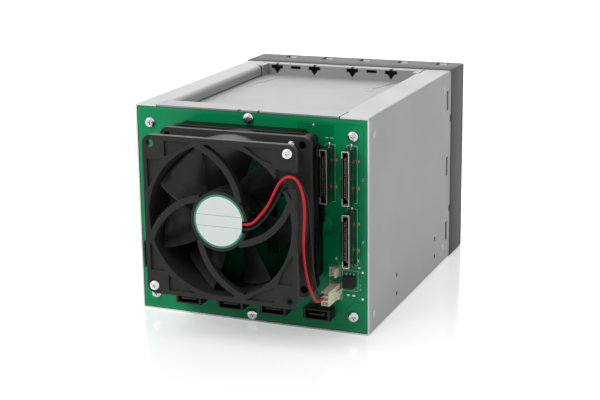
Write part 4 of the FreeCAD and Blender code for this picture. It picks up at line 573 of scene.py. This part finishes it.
def turned(name, place, rings, sides, axis="Y"):
    """A turned shape: rings of (radius, height) along Z, Y or -Y."""
    rest()
    bpy.ops.mesh.primitive_circle_add(vertices=sides, radius=rings[0][0] * MM, fill_type="NGON",
                                      location=mm(0, 0, rings[0][1]))
    piece = bpy.context.object
    piece.name = name
    settle(piece)
    choose(piece, everywhere)
    for (radius, height), (next_radius, next_height) in zip(rings, rings[1:]):
        bpy.ops.mesh.extrude_region_move(TRANSFORM_OT_translate={"value": mm(0, 0, next_height - height)})
        ratio = next_radius / radius
        bpy.ops.transform.resize(value=(ratio, ratio, 1))
    if rings[0][1] == rings[-1][1]:
        # the last ring is level with the first: the two end faces give way to a bore
        rest()
        choose(piece, lambda middle, normal: abs(normal.z) > 0.9 and middle.xy.length < 1e-6)
        bpy.ops.mesh.bridge_edge_loops()
    bpy.ops.mesh.select_all(action="SELECT")
    bpy.ops.mesh.normals_make_consistent(inside=False)
    rest()
    if axis != "Z":
        piece.rotation_euler = (-math.pi / 2, 0, 0) if axis == "Y" else (math.pi / 2, 0, 0)
    piece.location = mm(*place)
    settle(piece)
    return smooth(piece)


def joined(name, pieces):
    """Several pieces made one."""
    take(*pieces)
    bpy.ops.object.join()
    piece = bpy.context.object
    piece.name = name
    return piece


def repeated(master, shifts, name):
    """Copies of a master, each with its own mesh, moved by shifts and joined; the master goes."""
    copies = []
    for shift in shifts:
        take(master)
        bpy.ops.object.duplicate(linked=False)
        copy = bpy.context.object
        copy.location = mm(*shift)
        copies.append(settle(copy))
    bpy.data.objects.remove(master)
    return joined(name, copies)


def cut(piece, cutter):
    """Takes a cutter's shape out of a piece; the cutter goes."""
    modify(piece, "BOOLEAN", operation="DIFFERENCE", object=cutter, solver="EXACT")
    bpy.data.objects.remove(cutter)
    return piece


def dress(piece, finish, body, stands_for=()):
    """Finish, body and the CAD nodes that the piece stands for."""
    paint(piece, finish)
    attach(piece, body)
    if stands_for:
        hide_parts(*stands_for)
    return piece


def softened(node, name, width, finish, body, slot):
    """A copy of a rigid node with its edges rounded, as moulded parts have them."""
    take(nodes[node])
    bpy.ops.object.duplicate(linked=False)
    piece = bpy.context.object
    piece.name = name
    piece.parent = None
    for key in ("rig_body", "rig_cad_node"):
        del piece[key]
    # a node is loose triangles: they are merged, flat faces melt together and concave ones are split
    choose(piece, everywhere)
    bpy.ops.mesh.remove_doubles(threshold=0.005 * MM)
    bpy.ops.mesh.dissolve_limited(angle_limit=math.radians(0.6))
    bpy.ops.mesh.vert_connect_concave()
    rest()
    modify(piece, "BEVEL", width=width * MM, segments=2, limit_method="ANGLE",
           angle_limit=math.radians(40), use_clamp_overlap=True, miter_outer="MITER_ARC")
    smooth(piece, 40)
    return dress(piece, finish, body, (node,))


# ---------------------------------------------------------------- the fan's wires
RED_ROUTE = [
    (-15.8, 127.4, 73.4), (-20.6, 127.4, 73.4), (-26.0, 128.4, 78.6), (-31.6, 128.6, 85.6),
    (-35.4, 128.4, 93.4), (-38.6, 128.2, 99.8), (-43.6, 128.4, 103.2), (-48.8, 128.2, 101.6),
    (-51.9, 127.0, 92.0), (-51.9, 126.2, 80.0), (-50.2, 125.0, 66.0), (-49.8, 122.4, 52.0),
    (-50.0, 118.0, 41.0), (-50.4, 113.4, 32.6), (-51.2, 107.6, 25.4), (-51.2, 98.8, 25.4),
]
BLACK_ROUTE = [
    (-15.8, 127.4, 70.6), (-21.6, 127.4, 70.6), (-28.0, 128.0, 76.6), (-33.8, 128.2, 84.0),
    (-37.6, 127.8, 91.4), (-41.0, 127.0, 97.4), (-45.2, 126.8, 100.4), (-49.4, 125.4, 98.6),
    (-51.6, 122.0, 90.4), (-51.8, 119.4, 79.0), (-51.8, 117.4, 62.0), (-51.4, 114.0, 46.0),
    (-51.2, 109.4, 35.0), (-51.2, 104.6, 28.0), (-51.2, 98.8, 28.0),
]
WIRE_DIAMETER = 0.0015           # metres


def wire(name, route, finish, node):
    """One insulated wire as a smooth round curve."""
    curve = bpy.data.curves.new(name, "CURVE")
    curve.dimensions = "3D"
    curve.bevel_depth = WIRE_DIAMETER / 2
    curve.bevel_resolution = 5
    curve.use_fill_caps = True
    spline = curve.splines.new("NURBS")
    spline.points.add(len(route) - 1)
    for point, place in zip(spline.points, route):
        point.co = (*mm(*place), 1.0)
    spline.order_u = 3
    spline.use_endpoint_u = True
    spline.resolution_u = 12
    piece = bpy.data.objects.new(name, curve)
    bpy.context.scene.collection.objects.link(piece)
    return dress(piece, finish, "cage", (node,))


def fan_plug_body():
    """Three-way plug housing with its wire cavities open at the back and two small keys."""
    low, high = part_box("fan_plug")
    low, high = low / MM, high / MM
    key_proud, key_sunk, near_wall, far_wall, rib, depth = 0.3, 0.1, 1.1, 0.8, 0.35, 2.2
    body = block("plug_body", (low.x + key_proud, low.y, low.z), high)
    choose(body, lambda middle, normal: normal.y > 0.9)
    bpy.ops.mesh.bevel(offset=0.2 * MM, segments=2, affect="EDGES")
    rest()
    cell = (high.z - low.z) / 3
    for index in range(3):
        middle = low.z + cell * (index + 0.5)
        cavity = block("cavity", (low.x + near_wall, high.y - depth, middle - cell / 2 + rib),
                       (high.x - far_wall, high.y + 1, middle + cell / 2 - rib))
        cut(body, cavity)
    keys = [block("key", (low.x, low.y, low.z + z),
                  (low.x + key_proud + key_sunk, high.y - 3, low.z + z + 1.0), 0.12) for z in (1.4, 5.8)]
    return joined("fan_plug_housing", [body] + keys)


set_camera()
plug = dress(fan_plug_body(), "cream", "cage", ("fan_plug",))
smooth(plug)
red_wire = wire("red_wire", RED_ROUTE, "red_wire", "fan_wire_red")
black_wire = wire("black_wire", BLACK_ROUTE, "black_wire", "fan_wire_black")


# ---------------------------------------------------------------- screws
CROSS_HALF = 0.42                # half width of a cross recess's arm


def cross_cutter(reach, depth, top):
    """Tapered cross for a screw's drive, its mouth at a height along Z."""
    arms = []
    for half_x, half_y, taper in ((reach, CROSS_HALF, (0.35, 0.5, 1)), (CROSS_HALF, reach, (0.5, 0.35, 1))):
        arm = block("arm", (-half_x, -half_y, top - depth), (half_x, half_y, top + 1))
        choose(arm, lambda middle, normal: normal.z < -0.9)
        bpy.ops.transform.resize(value=taper)
        rest()
        arms.append(arm)
    modify(arms[0], "BOOLEAN", operation="UNION", object=arms[1], solver="EXACT")
    bpy.data.objects.remove(arms[1])
    return arms[0]


def cross_screw(name, head, crown, height, shank, length, reach):
    """A pan head screw along Y at the origin, its head's seat at Y 0."""
    rings = [(shank, -length), (shank, 0.0), (head * 0.97, 0.0), (head, height * 0.12),
             (head, height * 0.38), (head * 0.94, height * 0.62), (head * 0.80, height * 0.84),
             (crown, height * 0.96), (crown * 0.5, height)]
    screw = turned(name, (0, 0, 0), rings, 44, "Z")
    cut(screw, cross_cutter(reach, height * 0.62, height))
    screw.rotation_euler = (-math.pi / 2, 0, math.radians(17))
    settle(screw)
    return smooth(screw, 40)


BOARD_SCREWS = [(-63.4, 10.6), (-63.4, 116.3), (63.4, 10.6), (63.4, 116.3), (0.0, 122.6), (0.0, 4.6)]
master = cross_screw("master", head=3.2, crown=1.9, height=2.2, shank=1.4, length=4.2, reach=1.75)
screws = repeated(master, [(x, BOARD_REAR, z) for x, z in BOARD_SCREWS], "board_cross_screws")
dress(screws, "screw", "cage", ("board_screws",))

FAN_SCREWS = [(-43.25, 115.25), (39.25, 32.75)]
master = cross_screw("master", head=2.9, crown=1.8, height=1.8, shank=1.9, length=31.8, reach=1.6)
screws = repeated(master, [(x, FAN_REAR, z) for x, z in FAN_SCREWS], "fan_cross_screws")
dress(screws, "thread", "cage", ("fan_screws",))


# ---------------------------------------------------------------- rounded mouldings
MOULDINGS = [                    # node, piece, edge width, finish, body, slot
    ("fan_frame", "fan_housing", 0.35, "fan", "cage", "fan_plastic"),
    ("fan_bracket", "fan_carrier", 0.35, "carrier", "cage", "black_plastic"),
    ("bezel_frame", "bezel_moulding", 0.35, "bezel", "cage", "dark_grey_plastic"),
    ("bezel_face", "bezel_front_ring", 0.45, "black", "cage", "black_plastic"),
    ("fan_impeller", "fan_blades", 0.30, "blade", "fan_rotor", "blade_plastic"),
    ("power_sockets", "power_socket_bodies", 0.14, "socket", "cage", "socket_plastic"),
    ("data_sockets", "data_socket_bodies", 0.18, "data_socket", "cage", "socket_plastic"),
]
TRAY_MOULDINGS = [
    ("tray_%d_front", "tray_%d_housing", 0.30, "front", "tray_%d", "black_plastic"),
    ("tray_%d_lever", "tray_%d_handle", 0.30, "lever", "lever_%d", "lever_plastic"),
    ("tray_%d_button", "tray_%d_push", 0.25, "button", "button_%d", "button_plastic"),
]
for moulding in MOULDINGS:
    softened(*moulding)
for tray in TRAYS:
    for node, name, width, finish, body, slot in TRAY_MOULDINGS:
        softened(node % tray, name % tray, width, finish, body % tray, slot)


# ---------------------------------------------------------------- sockets on the board
POWER_SOCKETS = [(-49.6, 94.4), (-62.7, 94.4), (-62.7, 58.2)]      # X and Z of their middles
DATA_SOCKETS = [(-43.9, 12.3), (-16.7, 12.3), (10.5, 12.3), (37.7, 12.3)]
DATA_UPRIGHT = (63.2, 37.2)
POWER_WAYS, POWER_PITCH = 15, 1.52
DATA_WAYS, DATA_PITCH = 7, 1.27
POWER_SEAT = BOARD_REAR + 5.0    # where the contacts start along Y
DATA_SEAT = BOARD_REAR + 3.2
POWER_MOUTH = BOARD_REAR + 10.92
LUG_REACH = 16.4                 # from a power socket's middle to its lugs
PIN_ROW = (-45.7, 66.4)          # lowest pin of the long row beside the fan
PIN_ROW_WAYS, PIN_ROW_PITCH = 34, 1.27


def spread(count, pitch):
    """Even steps to both sides of 0."""
    return [(index - (count - 1) / 2) * pitch for index in range(count)]


def rim_frame(x, z):
    """Thin pale frame round a power socket's mouth, open at the middle of its +X side: a painted highlight on
    the mouth's rim edges.
    """
    half_width, half_length, wall, thickness, half_gap = 2.15, 15.55, 0.42, 0.16, 11.6
    y = POWER_MOUTH
    rim = block("rim", (x - half_width, y, z - half_length), (x + half_width, y + thickness, z + half_length))
    cut(rim, block("mouth", (x - half_width + wall, y - 1, z - half_length + wall),
                   (x + half_width - wall, y + 1, z + half_length - wall)))
    return cut(rim, block("gap", (x + 1, y - 1, z - half_gap), (x + half_width + 1, y + 1, z + half_gap)))


def contacts(name, low, high, places):
    """One strip between two corners, repeated at every contact's place."""
    dress(repeated(block("strip", low, high, 0.06), places, name), "gold", "cage")


# pale frames that stand in for the lit rim edges of the socket mouths: painted highlight
rims = [rim_frame(x, z) for x, z in POWER_SOCKETS]
dress(joined("power_socket_rim_highlights", rims), "rim", "cage")

contacts("power_contacts", (0.62, 0, -0.4), (0.80, 5.2, 0.4),
         [(x, POWER_SEAT, z + step) for x, z in POWER_SOCKETS for step in spread(POWER_WAYS, POWER_PITCH)])
contacts("upright_contacts", (0.62, 0, -0.35), (0.80, 4.2, 0.35),
         [(DATA_UPRIGHT[0], DATA_SEAT, DATA_UPRIGHT[1] + step) for step in spread(DATA_WAYS, DATA_PITCH)])
contacts("data_contacts", (-0.35, 0, -0.80), (0.35, 4.2, -0.62),
         [(x + step, DATA_SEAT, z) for x, z in DATA_SOCKETS for step in spread(DATA_WAYS, DATA_PITCH)])

# board locks: small bent lugs beside the power sockets' ends
lug = block("lug", (-0.5, 0, -1.1), (0.5, 0.5, 1.1), 0.12)
choose(lug, lambda middle, normal: normal.y > 0.9)
bpy.ops.mesh.inset(thickness=0.25 * MM, depth=0.25 * MM)
rest()
places = [(x + 0.2, BOARD_REAR, z + end * LUG_REACH) for x, z in POWER_SOCKETS for end in (-1, 1)]
dress(repeated(lug, places, "socket_lugs"), "tin", "cage")


# ---------------------------------------------------------------- pads, solder and print on the board
def on_board(places):
    """Places on the board's rear face from X and Z."""
    return [(x, BOARD_REAR, z) for x, z in places]


ring = turned("ring", (0, 0, 0), [(1.0, -0.2), (1.0, 0.05), (0.85, 0.09), (0.50, 0.07), (0.42, -0.1)], 24)
places = on_board((x - 3.4, z + end * 7.7) for x, z in POWER_SOCKETS for end in (-1, 1))
dress(repeated(ring, places, "post_pads"), "pad", "cage")

comb = block("comb", (-0.55, 0, -0.42), (0.55, 3.2, 0.42), 0.12)
places = on_board((PIN_ROW[0], PIN_ROW[1] + PIN_ROW_PITCH * index) for index in range(PIN_ROW_WAYS))
dress(repeated(comb, places, "pin_row_comb"), "carrier", "cage")

tail = turned("tail", (0, 0, 0), [(0.46, -0.05), (0.42, 0.12), (0.22, 0.45), (0.17, 0.85), (0.09, 1.0)], 12)
places = on_board((-46.9, z) for z in (65.1, 69.6, 71.6))
places += on_board((x + step, 17.4) for x, z in DATA_SOCKETS for step in spread(DATA_WAYS, DATA_PITCH))
places += on_board((-66.9, z) for z in (37.6, 21.6))
dress(repeated(tail, places, "solder_tails"), "tin", "cage")

spot = turned("spot", (0, 0, 0), [(0.65, -0.05), (0.65, 0.05), (0.5, 0.1)], 20)
places = on_board([(-68.9, 37.6), (-68.9, 21.6), (-39.8, 121.2)])
dress(repeated(spot, places, "bright_pads"), "tin", "cage")


PRINT_HALF = 0.05                # half thickness of the printed boxes and dashes


def outline(x0, x1, z0, z1, width=0.22):
    """Printed box: a thin frame on the board."""
    outer = block("print", (x0, BOARD_REAR - PRINT_HALF, z0), (x1, BOARD_REAR + PRINT_HALF, z1))
    inner = block("inner", (x0 + width, BOARD_REAR - 1, z0 + width),
                  (x1 - width, BOARD_REAR + 1, z1 - width))
    return cut(outer, inner)


def digit(text, x, z, size):
    """A printed number, read from behind the cage."""
    rest()
    bpy.ops.object.text_add(location=mm(x, BOARD_REAR - 0.02, z))
    piece = bpy.context.object
    piece.data.body = text
    piece.data.size = size * MM
    piece.data.align_x = "CENTER"
    piece.data.extrude = 0.04 * MM
    piece.rotation_euler = (math.pi / 2, 0, math.pi)
    bpy.ops.object.convert(target="MESH")
    return settle(bpy.context.object)


prints = [                       # round the regulator, the fan header and the pin header
    outline(-66.2, -56.6, 25.9, 38.1),
    outline(-56.4, -48.9, 20.2, 30.6),
    outline(-55.6, -48.8, 33.8, 40.6),
]
prints += [outline(x - 3.2, x + 3.0, z - 16.6, z + 16.6, 0.16) for x, z in POWER_SOCKETS]
prints += [digit(str(number), x - 6.4, z - 3.4, 2.4) for number, (x, z) in enumerate(POWER_SOCKETS, 1)]
prints += [digit(text, -67.4, z, 2.0) for text, z in (("1", 31.8), ("2", 29.2), ("3", 26.6))]
prints += [digit(str(number), x, 20.2, 2.2) for number, (x, z) in enumerate(DATA_SOCKETS, 1)]
prints += [digit("5", 66.0, 47.6, 2.4)]
prints += [block("dash", (x, BOARD_REAR - PRINT_HALF, 114.3), (x + 1.6, BOARD_REAR + PRINT_HALF, 114.7), 0.03)
           for x in (-48.6, -51.6)]
dress(joined("board_print", prints), "silk", "cage")


def trace_lines(name, routes, width):
    """Covered copper tracks: low rounded lines along the board, each through its own corners."""
    curve = bpy.data.curves.new(name, "CURVE")
    curve.dimensions = "3D"
    curve.bevel_depth = width * MM / 2
    curve.bevel_resolution = 1
    for route in routes:
        spline = curve.splines.new("POLY")
        spline.points.add(len(route) - 1)
        for point, (x, z) in zip(spline.points, route):
            point.co = (*mm(x, BOARD_REAR - width * 0.22, z), 1.0)
    piece = bpy.data.objects.new(name, curve)
    bpy.context.scene.collection.objects.link(piece)
    take(piece)
    bpy.ops.object.convert(target="MESH")
    return smooth(bpy.context.object, 80)


def bend(x, z, radius, start, end, steps=8):
    """Points on an arc in the board's plane, in degrees from +X towards +Z."""
    angles = [math.radians(start + (end - start) * index / steps) for index in range(steps + 1)]
    return [(x + radius * math.cos(a), z + radius * math.sin(a)) for a in angles]


# one track round the board's corner, then nested tracks round the lower end of the long pin row
tracks = [[(-32.0, 123.4)] + bend(-66.6, 119.8, 3.0, 90, 180) + [(-69.6, 60.0), (-67.6, 54.0), (-67.6, 44.0)]]
tracks += [[(-45.6, 64.4 + reach)] + bend(-45.9 - reach * 0.15, 64.4, reach, 90, 270, 12)[1:-1]
           + [(-45.6, 64.4 - reach)] for reach in (4.6, 5.3, 6.0, 6.7, 7.4)]
tracks += [
    [(-58.0, 14.0), (-64.0, 19.2), (-70.4, 19.2)],
    [(-34.0, 22.6), (-46.0, 22.6), (-50.4, 18.4), (-57.6, 18.4)],
]
tracks += [[(-58.4, 70.0 - step), (-56.0, 67.6 - step), (-56.0, 46.0 + step), (-58.4, 43.6 + step)]
           for step in (0.0, 1.2, 2.4)]
tracks += [
    [(54.0, 100.0), (60.0, 94.0), (60.0, 52.0)],
    [(52.4, 98.4), (58.4, 92.4), (58.4, 52.0)],
    [(66.8, 60.0), (66.8, 98.0), (60.6, 104.2)],
]
# wider buses behind the fan
buses = [[(x, 42.0), (x, 62.0), (x - 3.0, 66.0), (x - 3.0, 104.0)]
         for x in (-22.0, -23.6, -25.2, -26.8, -28.4)]
buses += [[(x, 40.0), (x, 58.0), (x + 4.0, 63.0), (x + 4.0, 102.0)] for x in (-12.5, -14.0, -15.5)]
buses += [[(x, 44.0), (x, 104.0)] for x in (18.0, 19.6, 21.2, 24.6, 26.2)]
dress(trace_lines("board_traces", tracks, 0.42), "trace", "cage")
dress(trace_lines("board_buses", buses, 0.50), "bus", "cage")

# small parts beside the regulator and the headers
chip = block("chip", (-0.8, 0, -0.45), (0.8, 0.55, 0.45), 0.08)
places = on_board([(-63.6, 23.4), (-60.2, 23.4), (-57.4, 42.6), (-58.6, 76.4), (-66.8, 40.4)])
dress(repeated(chip, places, "small_resistors"), "chip", "cage")
cap = block("cap", (-0.45, 0, -0.8), (0.45, 0.7, 0.8), 0.1)
places = on_board([(-66.4, 44.6), (-58.8, 40.6), (-53.2, 44.6)])
dress(repeated(cap, places, "small_capacitors"), "cream", "cage")


# ---------------------------------------------------------------- bezel hooks and spring ends
WALL = 73.0                      # from the middle to the side walls' outer faces
HOOK_Y = -73.5
HOOK_HEIGHTS = (20.3, 64.45, 108.6)
SPRING_Y = -107.2
SPRING_SEAT = 125.5
SPRING_SHIFT = -6.0              # from a tray's middle


def on_tray(tray):
    """X of a tray's middle."""
    return (tray - 3) * TRAY_PITCH


def hook_ends(name, half_width, half_height, proud):
    """Rounded plates in the side walls' hook slots, all six in one piece."""
    plates = []
    for side in (-1, 1):
        for z in HOOK_HEIGHTS:
            near, far = sorted((side * (WALL - 0.3), side * (WALL + proud)))
            plates.append(block(name, (near, HOOK_Y - half_width, z - half_height),
                                (far, HOOK_Y + half_width, z + half_height)))
    piece = joined(name, plates)
    modify(piece, "BEVEL", width=0.8 * half_width * MM, segments=3, limit_method="ANGLE", affect="EDGES")
    return smooth(piece, 50)


def spring_ends():
    """The springs' upturned ends in the bezel's five windows."""
    end = block("end", (-2.9, 0, 0), (2.9, 0.5, 1.75))
    choose(end, lambda middle, normal: normal.z > 0.9)
    bpy.ops.mesh.extrude_region_move(TRANSFORM_OT_translate={"value": mm(0, 0.7, 0.15)})
    rest()
    modify(end, "BEVEL", width=0.2 * MM, segments=2, limit_method="ANGLE")
    places = [(on_tray(tray) + SPRING_SHIFT, SPRING_Y, SPRING_SEAT) for tray in TRAYS]
    return repeated(smooth(end), places, "spring_ends")


# ---------------------------------------------------------------- tray fronts
TRAY_FACE = -109.0
LOCK_HEIGHT = 108.9
LAMP_HEIGHTS = (93.3, 98.3)
LAMP_SIDE = 9.9                  # from a tray's middle
LOCK_RING = [(5.2, -0.1), (5.2, 0.25), (5.0, 0.5), (4.5, 0.5), (4.15, 0.2), (4.1, -0.1)]
LAMP_RING = [(1.75, -0.1), (1.75, 0.15), (1.6, 0.25), (1.35, 0.25), (1.28, -0.1)]
GRIP_COUNT = 4
GRIP_TOP, GRIP_PITCH = 83.6, 2.0
GRIP_FRONT = -108.48             # the top bar's front
GRIP_STEP = 0.045                # how much further back each lower bar lies
PLATE_HALF = 5.6
PLATE_LOW, PLATE_HIGH = 24.6, 32.6
PLATE_FRONT, PLATE_BACK = -108.30, -107.65


def lock_ring(tray):
    """Plated ring round the key lock."""
    return turned("tray_%d_lock_ring" % tray, (on_tray(tray), TRAY_FACE, LOCK_HEIGHT), LOCK_RING, 40, "-Y")


def lamp_rings(tray):
    """Rings round the two lamps."""
    rings = [turned("ring", (on_tray(tray) - LAMP_SIDE, TRAY_FACE, z), LAMP_RING, 28, "-Y")
             for z in LAMP_HEIGHTS]
    return joined("tray_%d_lamp_rings" % tray, rings)


def grip_bars(tray):
    """Low bars near the lever's top for the finger."""
    bar = block("bar", (-5.5, 0, -0.45), (5.5, 0.5, 0.45), 0.2)
    places = [(on_tray(tray), GRIP_FRONT + GRIP_STEP * index, GRIP_TOP - GRIP_PITCH * index)
              for index in range(GRIP_COUNT)]
    return repeated(bar, places, "tray_%d_grip" % tray)


def name_plate(tray):
    """Bare plate on the lever's lower half with a low rim."""
    middle = on_tray(tray)
    plate = block("tray_%d_plate" % tray, (middle - PLATE_HALF, PLATE_FRONT, PLATE_LOW),
                  (middle + PLATE_HALF, PLATE_BACK, PLATE_HIGH))
    choose(plate, lambda centre, normal: normal.y < -0.9)
    bpy.ops.mesh.inset(thickness=0.6 * MM)
    bpy.ops.mesh.extrude_region_move(TRANSFORM_OT_translate={"value": mm(0, 0.14, 0)})
    rest()
    modify(plate, "BEVEL", width=0.08 * MM, segments=2, limit_method="ANGLE")
    return smooth(plate)


# painted shadow: black plates stand in for the shade in the slot round each bezel hook
gap_shadows = hook_ends("painted_slot_shadows", half_width=1.9, half_height=6.4, proud=0.05)
dress(gap_shadows, "black", "cage")
hooks = hook_ends("bezel_hook_ends", half_width=0.8, half_height=5.2, proud=0.12)
dress(hooks, "bezel", "cage")
dress(spring_ends(), "spring", "cage")
for tray in TRAYS:
    dress(lock_ring(tray), "lock", "tray_%d" % tray)
    dress(grip_bars(tray), "lever", "lever_%d" % tray)
    dress(name_plate(tray), "blank", "lever_%d" % tray)
    dress(lamp_rings(tray), "button", "tray_%d" % tray)


# ---------------------------------------------------------------- floor, sky and lamps
FLOOR_SIDE = 8                   # metres
FLOOR_GLOW = 0.42
SKY_ON_OBJECT = 0.24
SKY_SEEN = 1.0
SEEN_RAYS = ("Is Camera Ray", "Is Glossy Ray", "Is Transmission Ray")


def add_floor():
    """Pale glossy floor that glows faintly where it is seen."""
    rest()
    bpy.ops.mesh.primitive_plane_add(size=FLOOR_SIDE, location=(0, 0, 0))
    floor = bpy.context.object
    floor.name = "studio_floor"
    finish = Finish("studio_white", (0.94, 0.94, 0.94), 0.10, Emission_Strength=FLOOR_GLOW)
    direct, glossy, clear = [finish.add("ShaderNodeLightPath", output=ray) for ray in SEEN_RAYS]
    seen = direct.most(glossy).most(clear)
    finish.set("Emission Color", finish.mix(seen, (0, 0, 0, 1), (1, 1, 1, 1)))
    floor.data.materials.append(finish.material)


def add_sky():
    """Plain white sky where it is seen, and a soft even light on the object."""
    world = bpy.data.worlds.new("studio_sky")
    world.use_nodes = True
    tree = world.node_tree
    path = tree.nodes.new("ShaderNodeLightPath")
    background = tree.nodes["Background"]
    background.inputs["Color"].default_value = (1, 1, 1, 1)
    seen = path.outputs[SEEN_RAYS[0]]
    for ray in SEEN_RAYS[1:]:
        widest = tree.nodes.new("ShaderNodeMath")
        widest.operation = "MAXIMUM"
        tree.links.new(seen, widest.inputs[0])
        tree.links.new(path.outputs[ray], widest.inputs[1])
        seen = widest.outputs[0]
    level = tree.nodes.new("ShaderNodeMapRange")
    level.inputs["To Min"].default_value = SKY_ON_OBJECT
    level.inputs["To Max"].default_value = SKY_SEEN
    tree.links.new(seen, level.inputs["Value"])
    tree.links.new(level.outputs[0], background.inputs["Strength"])
    bpy.context.scene.world = world


add_floor()
add_sky()
for lamp in LAMPS:
    add_lamp(*lamp)
